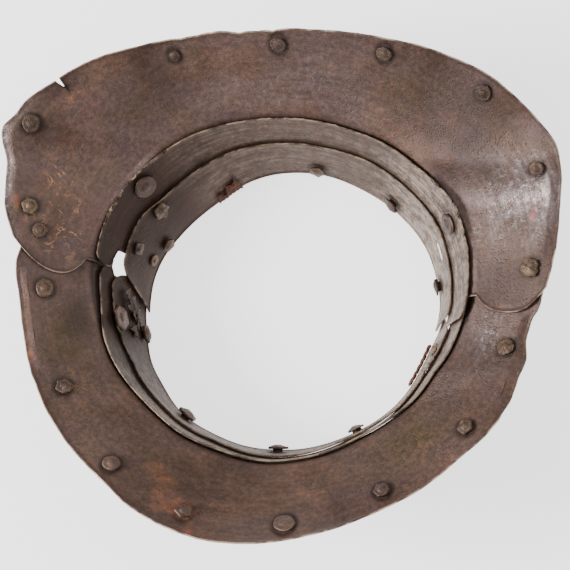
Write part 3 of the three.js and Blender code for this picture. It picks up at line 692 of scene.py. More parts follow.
# %% Lobes at the ends of the plates
# how far the tip reaches, how deep it is at the neck and at the border, its middle, its power
lobes = {
    ("back", "open"): (-3.8, 8.0, 13.0, 0.5, 2.6),
    ("back", "pivot"): (-1.6, 8.5, 15.0, 0.4, 2.2),
    ("front", "open"): (29.0, 15.0, 15.0, 0.5, 3.0),
    ("front", "pivot"): (28.0, 14.0, 14.0, 0.5, 3.0),
}


def angle_at(y, r, side):
    """Where a circle of radius r has that y, on the open or the pivot side."""
    turn = np.degrees(np.arcsin(y / r))
    return turn if side == "open" else 180 - turn


def lobe_end(half, side, share):
    """The end of the plate: its tip, drawn back by a power of the distance from the middle."""
    tip, neck_depth, border_depth, lobe_middle, power = lobes[half, side]
    depth = np.where(share > lobe_middle, border_depth, neck_depth)
    level = np.array(0.0 if side == "open" else 180.0)
    throat = throat_radius(level)
    width = reach(half, level) - throat
    off = (share - lobe_middle) / np.where(share > lobe_middle, 1 - lobe_middle, lobe_middle)
    back = depth * np.abs(off) ** power
    y = tip + back if half == "back" else tip - back
    return angle_at(y, throat + share * width, side)


first_end = lobe_end("back", "open", np.array([0.0, 0.5, 1.0]))
print("the back's open end at the neck, the middle and the edge, in degrees:", first_end.round(1))

# %% Columns and rows that crowd together where the shape changes
border_steps = np.array([0.0, 0.08, 0.25, 0.6, 1.1, 2.0])  # mm from a border
spot_reach, spot_steps = 2.4, 17  # mm on each side of a named spot


def crowded(count, length, *spots):
    """Even steps from 0 to 1, with finer ones at both ends and at the named spots."""
    near = border_steps / length
    window = np.linspace(-spot_reach, spot_reach, spot_steps) / length
    fine = np.concatenate([window + spot for spot in spots]) if spots else []
    return np.unique(np.concatenate([near, 1 - near, np.linspace(near[-1], 1 - near[-1], count), fine]))


print("steps over 40 mm, with 44 even ones:", len(crowded(44, 40.0)))

# %% Grid of a plate
# about how long and wide a plate is, and how deep its neck, to space columns and rows
plate_length, plate_width, neck_span = 430.0, 40.0, 11.0
rows_down = np.concatenate([1 - border_steps / neck_span, np.linspace(0.75, 0, 5)])
rows_turning = np.linspace(-1, 1, 8)[1:-1]
sides_in_order = {"back": ("open", "pivot"), "front": ("pivot", "open")}
whole_turn = {"back": 0, "front": 360}  # the front's angles run on past 360


def plate_grid(half, columns):
    """Angle and w of each grid point, the flange's width, the neck's depth and the distance to the
    nearer end in degrees. Along a row the angle runs evenly from lobe to lobe. Across, w runs up
    the neck, round the throat and out to the edge."""
    sides, wrap = sides_in_order[half], whole_turn[half]
    first = lobe_end(half, sides[0], np.array(1.0))
    last = lobe_end(half, sides[1], np.array(1.0)) + wrap
    spots = [(crack["angle"] - first) / (last - first)] if half == crack["half"] else []
    u = crowded(columns, plate_length, *spots)[:, None]
    low = len(rows_down)
    high = low + len(rows_turning)
    share = np.concatenate([np.zeros(high), crowded(44, plate_width)])[None, :]
    start, end = lobe_end(half, sides[0], share), lobe_end(half, sides[1], share) + wrap
    angle = start + (end - start) * u
    total = reach(half, angle) - throat_radius(angle)
    seam = 90 - np.abs(90 - np.mod(angle, 180))
    beside_pivot = between(np.mod(angle, 360), 160, 183, 4)
    lapped = 1 - smooth((seam - 12) / 10) if half == "back" else beside_pivot
    neck = {"back": back_neck, "front": front_neck}[half]
    least = lap_neck if half == "back" else pivot_side_neck
    depth = neck + (least - neck) * lapped
    w = bend + share * (total - bend)
    w[:, :low] = -bend - (depth[:, :low] - bend) * rows_down
    w[:, low:high] = bend * rows_turning
    return angle, w, total, depth, np.minimum(u, 1 - u) * np.abs(end - start)


print("back plate, columns by rows:", plate_grid("back", 380)[0].shape)

# %% Crack, chips and a fine ripple
mark_reach = 7.0  # mm from the edge over which all three die out


def marked(half, angle, w, inset, radius):
    """The new w and the lift beside the crack. The crack is a wedge cut into the edge, a chip is a
    bell, and the ripple is a product of two sines round the neck."""
    cut = np.zeros_like(w)
    lift = np.zeros_like(w)
    if half == crack["half"]:
        off = arc(angle, crack["angle"], radius)
        cut = crack["depth"] * np.clip(1 - np.abs(off) / crack["width"], 0, 1) ** crack["taper"]
        beside = np.where(off > 0, bell(off, crack["lift_width"]), 0)
        lift = -crack["lift"] * bell(inset, mark_reach) * beside
        for at, size in chips:
            cut = cut + size * bell(arc(angle, at, radius), chip_width)
    ripple = 0.12 * np.sin(np.radians(angle) * 61) * np.sin(np.radians(angle) * 23 + 1)
    return w - (cut + ripple) * bell(inset, mark_reach) * (w > bend), lift


probe = [np.array(at) for at in (crack["angle"], 40.0, 0.0, 130.0)]
print("the edge at the crack is drawn in by", round(40.0 - float(marked("back", *probe)[0]), 2), "mm")


# %% Flange plates
# painted shade: the plate is made black where it turns down into the neck, under the lame
neck_painted_shade = 0.9  # how black the plate is where it turns down into the neck
neck_shade_from, neck_shade_fade = 0.5, 3.0  # where that begins, as w, and over how many mm


def flange_plate(half, columns):
    """Two faces along the normal of the form, at the layer's distance plus dents and lift, minus
    and plus half the wall."""
    angle, w, total, depth, to_end = plate_grid(half, columns)
    inset = total - w
    radius = throat_radius(angle) + np.maximum(w, 0)
    w, lift = marked(half, angle, w, inset, radius)
    point, normal = sample(half, angle, w)
    distance = np.minimum(np.minimum(inset, w + depth), to_end * np.pi / 180 * radius)
    wall = sheet / 2 * rounded_wall(distance)
    move = layer[half + "_plate"] + dented(half, np.mod(angle, 360), inset, radius) + lift
    masks = stained(half, np.mod(angle, 360), inset, radius)
    masks["edge"] = wear_near(distance)
    # painted shade round each bur and in the neck under the lame, added to the soot stains
    masks["soot_and_painted_shade"] = np.maximum(masks["soot_and_painted_shade"], ring_of_painted_shade(half + "_plate", angle, w, radius))
    masks["soot_and_painted_shade"] = np.maximum(masks["soot_and_painted_shade"], neck_painted_shade * smooth((neck_shade_from - w) / neck_shade_fade))
    uv = np.stack([arc(angle, 90.0, radius), w], -1)
    inner = point + normal * (move - wall)[..., None]
    outer = point + normal * (move + wall)[..., None]
    return shell("hammered_" + half + "_plate", inner, outer, masks, uv)


plates = {half + "_plate": flange_plate(half, 380) for half in ("back", "front")}

# %% [markdown]
# ## The collar lames
# A lame is a hoop of sheet that overlaps the next one by about 8 mm. The upper ones are plain.
# The lower ones have a rim that was folded over on the outside, and the whole piece rests on it.
# Their ends are rounded at the upper corner, and two of them are torn where the rivets worked.
# A wave that is strong only near the ends of the band gives them that crumpled look.

# %% Ends and crumples of the lames
# y of each end at its upper and lower border, from the middle of the neck
lame_ends = {
    back_upper: {"open": (-7.0, -7.0), "pivot": (6.5, 16.5)},
    back_lower: {"open": (-1.0, -6.0), "pivot": (7.0, -8.0)},
    front_upper: {"open": (12.0, 12.0), "pivot": (8.0, 4.0)},
    front_lower: {"open": (-10.5, 5.0), "pivot": (3.5, 12.0)},
}
# lame, low and high angle, fade, low and high w, how far it is pushed into the hollow
crumples = [
    (front_lower, 189.0, 197.0, 3.0, -40.0, -18.0, 1.5),
    (front_lower, 338.0, 349.0, 3.0, -40.0, -25.0, 1.1),
    (back_lower, 160.0, 171.0, 4.0, -50.0, -26.0, 0.5),
]
print("lames:", len(lame_ends), "crumpled places:", len(crumples))

# %% Borders of the lames
back_lame_lift = 3.5  # how much higher the back lower lame stands at the pivot side


def near_seam(angle, start, fade):
    """1 within start degrees of either shoulder, fading outside."""
    a = np.mod(angle, 180)
    return 1 - smooth((np.minimum(a, 180 - a) - start) / fade)


def lame_top(name, angle):
    """The upper border of a lame, as w."""
    if name == back_upper:
        return np.zeros_like(angle)
    if name == front_upper:
        return -front_lame_sink - (front_lap_sink - front_lame_sink) * near_seam(angle, 6, 14)
    if name == front_lower:
        return lower_lame_lift * between(np.mod(angle, 360), 170, 192, 16) - lower_lame_top
    return back_lame_lift * between(np.mod(angle, 360), 158, 200, 14) - lower_lame_top


def lame_end(name, side, share, low, top):
    """The end along Y at each height, with its upper corner rounded."""
    upper_y, lower_y = lame_ends[name][side]
    stepped = side == "pivot" and name in (back_upper, front_upper)
    along = smooth((share - 0.5) / 0.16) if stepped else share
    off = np.clip(1 - (1 - share) * (top - low) / corner_round, 0, 1)
    cut = corner_round * (1 - np.sqrt(1 - off * off)) * (1 if name.startswith("back") else -1)
    y = lower_y + (upper_y - lower_y) * along + cut
    level = np.array(0.0 if side == "open" else 180.0)
    height = low + share * (lame_top(name, level) - low)
    rim, throat = rim_radius(level), throat_radius(level)
    return angle_at(y, rim + (throat - rim) * (1 + height / collar_height), side)


for lame_name in lame_ends:
    print(lame_name, "starts", abs(float(lame_top(lame_name, np.array(90.0)))), "mm below the throat")

# %% Crumples
collar_radius = 85.0  # about, to turn angles into distances along the collar


def crumple(name, angle, w):
    """Sharp folds: the absolute value of two crossed waves, inside the torn places only."""
    push = np.zeros_like(angle)
    folds = np.abs(np.sin(angle * 1.9 + w * 0.55)) + 0.7 * np.abs(np.sin(angle * 1.1 - w * 0.8 + 1))
    for lame, low, high, fade, w_low, w_high, size in crumples:
        if lame == name:
            inside = between(np.mod(angle, 360), low, high, fade) * between(w, w_low, w_high, 4.0)
            push -= size * inside * folds / 1.7
    for _, held, at, place, base, changes in rivet_rows:
        if name in held:
            round_way = arc(np.mod(angle, 360), np.mod(at, 360), collar_radius)
            near = np.hypot(round_way, w - rivet_w(held, at, place))
            push = push * (1 - bell(near, changes.get("bur", base["bur"]) + 1.5))
    return push


deepest = crumple(front_lower, np.linspace(189, 197, 60), np.full(60, -30.0)).min()
print("the torn end is pushed in by up to", round(float(-deepest), 2), "mm")

# %% Grid of a lame, with a slit in one
lame_length = 260.0  # about, to space the columns
slit_angle, slit_w, slit_length, slit_width = 23.3, -33.4, 9.0, 2.6


def lame_grid(name, columns):
    """Angle and w of each grid point, the upper and lower border, and the distance to the nearer
    end in degrees. The angle runs evenly from end to end, and w from the lower border up."""
    half = name.split("_")[0]
    low = -collar_height if name.endswith("lower") else -upper_lame_low
    top = float(lame_top(name, np.array(90.0)))
    slotted = name == back_lower
    share = crowded(26, top - low, *[(slit_w - low) / (top - low)] * slotted)[None, :]
    sides = sides_in_order[half]
    start = lame_end(name, sides[0], share, low, top)
    end = lame_end(name, sides[1], share, low, top) + whole_turn[half]
    slit_at = (slit_angle - start[0, 0]) / (end[0, 0] - start[0, 0])
    slit_half = slit_length / (2 * lame_length)
    u = crowded(columns, lame_length, *[slit_at - slit_half, slit_at + slit_half] * slotted)[:, None]
    angle = start + (end - start) * u
    w = low + share * (lame_top(name, angle) - low)
    return angle, w, low, np.minimum(u, 1 - u) * np.abs(end - start)


def slit_cells(angle, w, radius):
    """True in the cells of a slot with round ends: a fixed distance from a short line."""
    beyond = np.maximum(np.abs(arc(angle, slit_angle, radius)) - (slit_length - slit_width) / 2, 0)
    return (np.hypot(beyond, w - slit_w) < slit_width / 2)[:-1, :-1]


print("lower back lame, columns by rows:", lame_grid(back_lower, 300)[0].shape)


# %% Masks of a lame
def lame_masks(name, angle, w, radius, distance):
    """Bare metal on the open side and in front, which on the open side, facing the lamp, is
    also painted light. Painted shade at the pivot side and round each bur, rust by the leather.
    """
    turn, signed = np.mod(angle, 360), np.mod(angle + 180, 360) - 180
    masks = {key: np.zeros_like(w) for key in ("rust", "veins", "bare", "olive", "pink")}
    masks["edge"] = wear_near(distance)
    # painted light: lighter bare metal on the open side, which faces the lamp
    masks["bare"] = 0.95 * between(signed, -12, 42, 24) + 0.3 * between(signed, 42, 125, 20)
    masks["bare"] = masks["bare"] + 0.5 * between(turn, 215, 330, 20)
    # painted shade on the pivot side, which faces away from the lamp, and round each bur
    masks["soot_and_painted_shade"] = np.maximum(ring_of_painted_shade(name, angle, w, radius), 0.7 * between(turn, 150, 215, 18))
    masks["rust"] = 0.5 * bell(arc(turn, 125.0, radius), 13.0) * bell(w + 50, 7.0)
    return masks


probe = [np.array([[at]]) for at in (180.0, -30.0, 80.0, 5.0)]
beside_pivot_masks = lame_masks(back_lower, *probe)
print("masks beside the pivot:", {key: value.round(2).item() for key, value in beside_pivot_masks.items()})


# %% Collar lames
def collar_lame(name, columns):
    """Two faces along the normal of the form, as for a plate. The outer one also has the folded
    rim, whose section is half an ellipse."""
    half = name.split("_")[0]
    angle, w, low, to_end = lame_grid(name, columns)
    radius = rim_radius(angle)
    top_distance = lame_top(name, angle) - w
    ragged = 0.16 * np.sin(np.radians(angle) * 47) * np.sin(np.radians(angle) * 18 + 2)
    ragged = ragged + 0.12 * np.sin(np.radians(angle) * 131)
    w = w + ragged * bell(top_distance, 5.0)
    point, normal = sample(half, angle, w, rounded=False)
    distance = np.minimum(np.minimum(top_distance, w - low), to_end * np.pi / 180 * radius)
    wall = sheet / 2 * rounded_wall(distance)
    fold = np.zeros_like(w)
    if name.endswith("lower"):
        from_middle = (w - low - rim_fold_height / 2) / (rim_fold_height / 2)
        plump = np.sqrt(np.clip(1 - from_middle**2, 0, 1))
        fold = rim_fold * plump * (1 - near_seam(angle, 12, 6))
    move = layer[name] + crumple(name, angle, w)
    masks = lame_masks(name, angle, w, radius, distance)
    uv = np.stack([arc(angle, 90.0, radius), w], -1)
    inner = point + normal * (move - wall)[..., None]
    outer = point + normal * (move + wall + fold)[..., None]
    for face in (inner, outer):
        face[..., 2] = np.maximum(face[..., 2], 0.0)
    hole = slit_cells(angle, w, radius) if name == back_lower else None
    return shell("hammered_" + name, inner, outer, masks, uv, hole)


lames = {name: collar_lame(name, 300) for name in (back_upper, back_lower, front_upper, front_lower)}

# %% [markdown]
# ## Rivets
# A rivet is a turned shape: a profile carried round an axis. A perfect lathe shape would look
# new, so the bur's outline is pulled towards a square, a pentagon or a hexagon where the smith
# cut it so, and the hammered end in its middle gets facets. Both poles are single points, so the
# skin is closed.

# %% Plan of a bur
turns = 44  # points round a rivet


def polygon_radius(turn, sides, phase):
    """Radius of a polygon of that many sides, against a circle a little inside its corners."""
    if not sides:
        return np.ones_like(turn)
    wedge = 2 * np.pi / sides
    flat = np.cos(wedge / 2) / np.cos(np.mod(turn + phase, wedge) - wedge / 2)
    return flat * 1.06


def bur_plan(spec, turn, phase):
    """The polygon, times slow waves of a few percent, times quick ones where the bur is ragged."""
    plan = polygon_radius(turn, spec["sides"], phase)
    plan = plan * (1 + 0.035 * np.sin(2 * turn + phase) + 0.02 * np.sin(5 * turn + 2 * phase))
    ragged = spec.get("ragged", 0.0)
    return plan * (1 + ragged * 0.25 * np.sin(7 * turn + phase) * np.sin(3 * turn))


hexagon = polygon_radius(np.radians([0.0, 30.0]), 6, 0.0)
print("a hexagon's corner and flat against the circle:", hexagon.round(2))

# %% Profile of a rivet
bur_edge_row = 9  # the ring at the widest place of the bur, whose edge is worn
pole_wear = [0.4, 0.3]  # in the middle of the hammered end and of the head
passing_play = 0.5  # between a stud's head and the plate that it passes through


def rivet_profile(spec, top, under):
    """Rings from the hammered end to the outer head, and how high the end swells. A row is a
    radius, a height along the inward normal and how much of the bur's plan it takes."""
    bur, thick, peen = spec["bur"], spec["bur_height"], spec.get("peen", 0.52)
    swell = 0.55 + 0.25 * thick
    steps = np.linspace(0, 1, 6)[1:]
    rows = [(bur * peen * s, top + thick + swell * (1 - s**2.4), 0.3) for s in steps]
    rows += [(bur * (peen + 0.04), top + thick - 0.06, 0.6), (bur * 0.8, top + thick, 1.0)]
    rows += [(bur * 0.93, top + thick * 0.93, 1.0), (bur * 0.99, top + thick * 0.7, 1.0)]
    rows += [(bur, top + thick * 0.35, 1.0), (bur * 0.97, top, 1.0), (spec["shank"], top, 0.0)]
    rows += [(spec["shank"], under, 0.0), (spec["head"], under, 0.0)]
    rows += [
        (spec["head"] * math.cos(t), under - spec["head_height"] * math.sin(t), 0.0)
        for t in np.linspace(0.15, 1.45, 6)
    ]
    return rows, swell


print("rings of a domed rivet:", len(rivet_profile(domed, 1.0, -1.0)[0]))


# %% Skin of a rivet
def rivet_skin(name, spec, inner_face, outer_face, centre, normal):
    """The profile's rings turned about the normal. Each ring's radius goes towards the plan, and
    what is above the sheet rises and falls with two waves and the tilt. Both poles are closed."""
    draws = np.random.default_rng(sum(map(ord, name)))
    top = inner_face + seat_gap + spec.get("stand", 0.0)
    under = outer_face - seat_gap - (passing_play if "passes" in spec else 0.0)
    turn = np.linspace(0, 2 * np.pi, turns, endpoint=False)
    phase = draws.uniform(0, 2 * np.pi)
    rows, swell = rivet_profile(spec, top, under)
    radius = np.array([row[0] for row in rows])[:, None]
    height = np.array([row[1] for row in rows])[:, None]
    shaped = np.array([row[2] for row in rows])[:, None]
    reach_out = radius * (1 + shaped * (bur_plan(spec, turn, phase) - 1))
    hills = np.sin(3 * turn + phase) * 0.5 + np.sin(5 * turn + 2 * phase) * 0.35
    above = np.clip(height - top - 0.15, 0, None)
    rise = height + above * (0.16 + spec.get("ragged", 0.0)) * hills * np.clip(radius / spec["bur"], 0, 1)
    rise = rise + above * spec.get("tilt", 0.0) * np.cos(turn + phase) * radius / spec["bur"] * 0.6
    side = np.cross([0.0, 0.0, 1.0], -normal)
    side /= np.linalg.norm(side)
    other = np.cross(side, -normal)
    flat = side[None, None] * (reach_out * np.cos(turn))[..., None]
    flat = flat + other[None, None] * (reach_out * np.sin(turn))[..., None]
    points = centre + flat - normal * rise[..., None]
    count = len(rows)
    poles = np.stack([
        centre - normal * (top + spec["bur_height"] + swell),
        centre - normal * (under - spec["head_height"]),
    ])
    ring = np.arange(count * turns).reshape(count, turns)
    ahead = np.roll(ring, -1, axis=1)
    quads = np.stack([ring[:-1], ring[1:], ahead[1:], ahead[:-1]], -1).reshape(-1, 4)
    start, finish = count * turns, count * turns + 1
    caps = np.concatenate([
        np.stack([np.full(turns, start), ring[0], ahead[0]], -1),
        np.stack([np.full(turns, finish), ahead[-1], ring[-1]], -1),
    ])
    worn = (bell(np.arange(count) - bur_edge_row, 1.6)[:, None] + 0 * rise).ravel()
    worn = np.concatenate([worn, pole_wear])
    everything = np.concatenate([points.reshape(-1, 3), poles])
    # the darkening makes the rivet darker and dims its worn edge
    darkening = np.full(len(everything), spec.get("darkening", 0.0))
    return fill(name, everything, quads, caps, masks={"edge": worn * (1 - darkening), "soot_and_painted_shade": darkening})


# %% Seat the rivets
def rivet_piece(row):
    """Seats one rivet on the form and gives it its skin."""
    name, held, angle, place, base, changes = row
    spec = {**base, **changes}
    half = held[0].split("_")[0]
    w = rivet_w(held, angle, place)
    point, normal = sample(half, np.array(angle), np.array(w), rounded=w > 0)
    total = float(reach(half, np.array(angle)) - throat_radius(np.array(angle)))
    if w > 0:
        round_here = np.array(throat_radius(np.array(angle)) + w)
        point = point + normal * dented(half, np.array(np.mod(angle, 360)), np.array(total - w), round_here)
    sheets = held + ([spec["passes"]] if "passes" in spec else [])
    inner_face = -min(layer[s] for s in sheets) + sheet / 2
    outer_face = -max(layer[s] for s in sheets) - sheet / 2
    return rivet_skin("forged_" + name, spec, inner_face, outer_face, point, normal)


rivets = {row[0]: rivet_piece(row) for row in rivet_rows}
print(len(rivets), "rivets")

# %% [markdown]
# ## Leather and torn flakes
# Two short rests of leather cling to the rim. Beside the hexagonal washer the old lining and the
# end of the lame have broken into flakes that stand off the steel. Both are thin sheets again: a
# strip on the form with a ragged border, and patches that curl away from it.

# %% Strips on the form
strip_grid = (60, 14)  # points along and across


def strip(name, half, lame, span, heights, thickness, stand, masks=None, curl=0.0, seed=1):
    """A thin sheet that follows the form, from low to high, inside a lame. Its upper border is a
    sum of sines with random shifts, and it stands off the lame by small waves and a curl."""
    draws = np.random.default_rng(seed)
    u = np.linspace(0, 1, strip_grid[0])[:, None]
    v = np.linspace(0, 1, strip_grid[1])[None, :]
    angle = span[0] + (span[1] - span[0]) * u + 0 * v
    waves = sum(
        np.sin(u * 2 * np.pi * k + draws.uniform(0, 6.28)) / k for k in (1, 2, 3, 5, 8, 13, 21)
    )
    taper = np.clip(np.minimum(u, 1 - u) * 7, 0, 1) ** 0.6
    high = heights[0] + (heights[1] - heights[0]) * (0.8 + 0.28 * waves) * taper + 0.5
    w = heights[0] + (high - heights[0]) * v - collar_height
    point, normal = sample(half, angle, w, rounded=False)
    wave = 0.18 * np.sin(u * 40 + v * 5) + curl * v**2 + 0.12 * np.sin(u * 95 - v * 9)
    thinned = np.minimum(np.minimum(u, 1 - u) * 30, np.minimum(v, 1 - v) * 8)
    wall = thickness / 2 * np.clip(thinned, 0.12, 1)
    level = layer[lame] - sheet / 2 - stand - thickness / 2 - wave
    inner = point + normal * (level - wall)[..., None]
    outer = point + normal * (level + wall)[..., None]
    edge = np.clip(1 - np.minimum(v, 1 - v) * 8, 0, 1) + 0 * u
    uv = np.stack([arc(angle, 90.0, rim_radius(angle)), w], -1)
    return shell(name, inner, outer, {"edge": edge, **(masks or {})}, uv)


# %% Leather remnants
hide = 1.5  # thickness
leathers = {
    "leather_remnant_back": strip(
        "dry_leather_back", "back", back_lower, (119, 131), (1.0, 10.0), hide, 0.3, seed=3
    ),
    "leather_remnant_front": strip(
        "dry_leather_front", "front", front_lower, (331, 350), (1.0, 6.5), hide, 0.3, seed=5
    ),
}

# %% Torn flakes
flake, flake_stand = 0.5, 1.2  # thickness, and distance from the lame
# low and high angle, low and high way above the rim, curl, seed
flake_rows = [
    ((180.5, 189.0), (25.5, 30.5), 1.4, 11),
    ((182.5, 192.0), (19.5, 24.5), 0.9, 12),
    ((186.0, 195.0), (13.5, 18.5), 1.2, 13),
    ((193.5, 198.0), (20.0, 27.0), 0.8, 14),
]
clean = {key: np.zeros(strip_grid) for key in ("rust", "veins", "bare", "olive", "pink", "soot_and_painted_shade")}
flakes = []
for i, (span, heights, curl, seed) in enumerate(flake_rows):
    flake_name = "torn_flake_%d" % (i + 1)
    flakes.append(
        strip(flake_name, "front", front_lower, span, heights, flake, flake_stand, clean, curl, seed)
    )

# %% [markdown]
# ## Finishes
# The steel is old and was never painted: a brown tarnish with purple and olive clouds, orange
# rust in patches, bare worn metal where hands rubbed it, and bright lines along the edges. Light
# and shade are painted in as well: bare metal is lighter where the collar and plates face the
# lamp, with painted glints on it, and painted shade darkens the neck under the lames, a ring
# round each bur and the pivot side of the collar. What several finishes use, such as the clouds,
# the rust and the worn edges, is a node group with named sockets. Patterns read Object
# coordinates, so that they stay fixed in the metal.

# %% Colours
def screen(red, green, blue):
    """A colour as a screen shows it, 0 to 255, as linear light."""
    values = np.array([red, green, blue]) / 255
    linear = np.where(values <= 0.04045, values / 12.92, ((values + 0.055) / 1.055) ** 2.4)
    return (*linear.tolist(), 1.0)


print("middle grey of a screen, as linear light:", round(screen(128, 128, 128)[0], 3))


# %% Place and link nodes
def node(tree, kind, feeds=None, **settings):
    """One node, its settings, and a value or a socket for each input in feeds."""
    made = tree.nodes.new(kind)
    for key, value in settings.items():
        setattr(made, key, value)
    for key, value in (feeds or {}).items():
        if isinstance(value, bpy.types.NodeSocket):
            tree.links.new(value, made.inputs[key])
        else:
            made.inputs[key].default_value = value
    return made


def mix(tree, factor, first, second, blend="MIX"):
    """First colour where factor is 0, second where it is 1."""
    made = node(tree, "ShaderNodeMix", {0: factor, 6: first, 7: second}, data_type="RGBA", blend_type=blend)
    return made.outputs[2]


def maths(tree, operation, first, second=0.5, third=0.5, clamp=False):
    """One sum, product or other operation on up to three values."""
    feeds = {0: first, 1: second, 2: third}
    return node(tree, "ShaderNodeMath", feeds, operation=operation, use_clamp=clamp).outputs[0]


def ramp(tree, value, low, high):
    """0 at low, 1 at high, clamped, and smooth in between."""
    feeds = {"Value": value, "From Min": low, "From Max": high}
    return node(tree, "ShaderNodeMapRange", feeds, interpolation_type="SMOOTHSTEP").outputs[0]


def noise(tree, vector, scale, detail=6.0, roughness=0.55, distortion=0.0):
    """Fractal noise about 0.5. Its scale is the number of bumps in a metre."""
    feeds = {
        "Vector": vector, "Scale": scale, "Detail": detail, "Roughness": roughness, "Distortion": distortion,
    }
    return node(tree, "ShaderNodeTexNoise", feeds).outputs["Fac"]


def mask(tree, name):
    """A mask of the mesh, 0 where the piece has none of that name."""
    return node(tree, "ShaderNodeAttribute", attribute_name=name).outputs["Fac"]


practice = bpy.data.node_groups.new("practice", "ShaderNodeTree")
ramp(practice, noise(practice, (0, 0, 0), 10.0), 0.4, 0.6)
print("a ramp on a noise takes", len(practice.nodes), "nodes and", len(practice.links), "link")
bpy.data.node_groups.remove(practice)


# %% Make and place node groups
def new_group(name, inputs, outputs):
    """An empty node group with its sockets: (name, type, default) in, (name, type) out."""
    tree = bpy.data.node_groups.new(name, "ShaderNodeTree")
    for label, kind, default in inputs:
        socket = tree.interface.new_socket(label, in_out="INPUT", socket_type="NodeSocket" + kind)
        if default is not None:
            socket.default_value = default
    for label, kind in outputs:
        tree.interface.new_socket(label, in_out="OUTPUT", socket_type="NodeSocket" + kind)
    return tree, node(tree, "NodeGroupInput").outputs, node(tree, "NodeGroupOutput").inputs


def use(tree, group, feeds):
    """Places a node group in a tree and gives its outputs."""
    return node(tree, "ShaderNodeGroup", feeds, node_tree=group).outputs


def finish_group(tree, out, results):
    """Links each result to its output and says what was made."""
    for key, value in results.items():
        tree.links.new(value, out[key])
    print("node group", tree.name + ":", len(tree.nodes), "nodes, puts out", list(results))


print("new_group and use are ready, groups so far:", len(bpy.data.node_groups))

# %% Node group: clouds of tarnish
clouds, given, out = new_group(
    "clouds",
    [("Vector", "Vector", None), ("Scale", "Float", 25.0), ("Low", "Float", 0.4),
     ("High", "Float", 0.6), ("First", "Color", (0, 0, 0, 1)), ("Second", "Color", (1, 1, 1, 1))],
    [("Color", "Color"), ("Mask", "Float")],
)
large = noise(clouds, given["Vector"], given["Scale"], 8.0, 0.62, 0.4)
limits = {"Value": large, "From Min": given["Low"], "From Max": given["High"]}
cover = node(clouds, "ShaderNodeMapRange", limits).outputs[0]
cloud_colour = mix(clouds, cover, given["First"], given["Second"])
finish_group(clouds, out, {"Color": cloud_colour, "Mask": cover})

# %% [markdown]
# ## Rust and scratches
# Rust starts in small blooms that grow together, and fine scratches have rust or clean metal in
# them. Both could be painted by hand. Here a stain's mask lifts a noise over a threshold, so the
# blooms are thick in the stain's middle and thin out round it. A scratch is a contour line of a
# noise, which is a thin curve that wanders and never branches sharply.

# %% Node group: rust that blooms where a mask allows it
rusting, given, out = new_group(
    "rusting",
    [("Vector", "Vector", None), ("Scale", "Float", 90.0), ("Where", "Float", 0.0)],
    [("Mask", "Float")],
)
bloom = noise(rusting, given["Vector"], given["Scale"], 10.0, 0.68, 0.6)
reached = maths(rusting, "MULTIPLY_ADD", given["Where"], 0.34, bloom)
finish_group(rusting, out, {"Mask": ramp(rusting, reached, 0.64, 0.86)})

# %% Node group: thin wandering scratches
scratches, given, out = new_group(
    "scratches",
    [("Vector", "Vector", None), ("Scale", "Float", 60.0), ("Width", "Float", 0.012),
     ("Where", "Float", 0.0)],
    [("Mask", "Float")],
)
field = noise(scratches, given["Vector"], given["Scale"], 4.0, 0.6, 1.2)
near_line = maths(scratches, "ABSOLUTE", maths(scratches, "SUBTRACT", field, 0.5))
line = maths(scratches, "SUBTRACT", 1.0, maths(scratches, "DIVIDE", near_line, given["Width"]), clamp=True)
broken = ramp(scratches, noise(scratches, given["Vector"], 220.0, 3.0), 0.42, 0.62)
shown = maths(scratches, "MULTIPLY", maths(scratches, "MULTIPLY", line, broken), given["Where"], clamp=True)
finish_group(scratches, out, {"Mask": shown})

# %% [markdown]
# ## Pits, speckle, brush strokes and wear
# Close up, old steel is never smooth. Corrosion leaves pits, the tarnish is speckled, and files
# and brushes leave short strokes along the hoops. Where it is rubbed, at edges and on the open
# side, clean metal shows lighter; where it faces the lamp that is also painted light, and painted
# glints lie on it. Each of these is small, so it is a pattern and a bump, not a shape. The
# strokes read the sheet's own map, because they follow the hoop and not the room.

# %% Node group: pits and grain
pitting, given, out = new_group(
    "pitting",
    [("Vector", "Vector", None), ("Scale", "Float", 420.0), ("Amount", "Float", 0.5)],
    [("Height", "Float"), ("Mask", "Float")],
)
near_cell = {"Vector": given["Vector"], "Scale": given["Scale"]}
cells = node(pitting, "ShaderNodeTexVoronoi", near_cell).outputs["Distance"]
chance = noise(pitting, given["Vector"], 75.0, 5.0, 0.6)
hole = ramp(pitting, maths(pitting, "ADD", cells, maths(pitting, "MULTIPLY", chance, -0.9)), -0.4, -0.12)
grain = noise(pitting, given["Vector"], 900.0, 6.0, 0.7)
depth = maths(pitting, "MULTIPLY_ADD", hole, given["Amount"], maths(pitting, "MULTIPLY", grain, 0.6))
finish_group(pitting, out, {"Height": depth, "Mask": maths(pitting, "SUBTRACT", 1.0, hole)})

# %% Node group: fine speckle of the tarnish
speckling, given, out = new_group(
    "speckle", [("Vector", "Vector", None), ("Scale", "Float", 420.0)], [("Mask", "Float")]
)
speckle = ramp(speckling, noise(speckling, given["Vector"], given["Scale"], 8.0, 0.75), 0.36, 0.68)
finish_group(speckling, out, {"Mask": speckle})

# %% Node group: brush strokes along the sheet
strokes, given, out = new_group(
    "brush strokes", [("Map", "Vector", None)], [("Streaks", "Float"), ("Brushed", "Float")]
)
long_and_thin = {"Vector": given["Map"], "Scale": (14.0, 520.0, 1.0)}
stretched = node(strokes, "ShaderNodeMapping", long_and_thin).outputs[0]
stroke = noise(strokes, stretched, 1.0, 5.0, 0.6)
stroke_masks = {"Streaks": ramp(strokes, stroke, 0.35, 0.7), "Brushed": ramp(strokes, stroke, 0.3, 0.7)}
finish_group(strokes, out, stroke_masks)

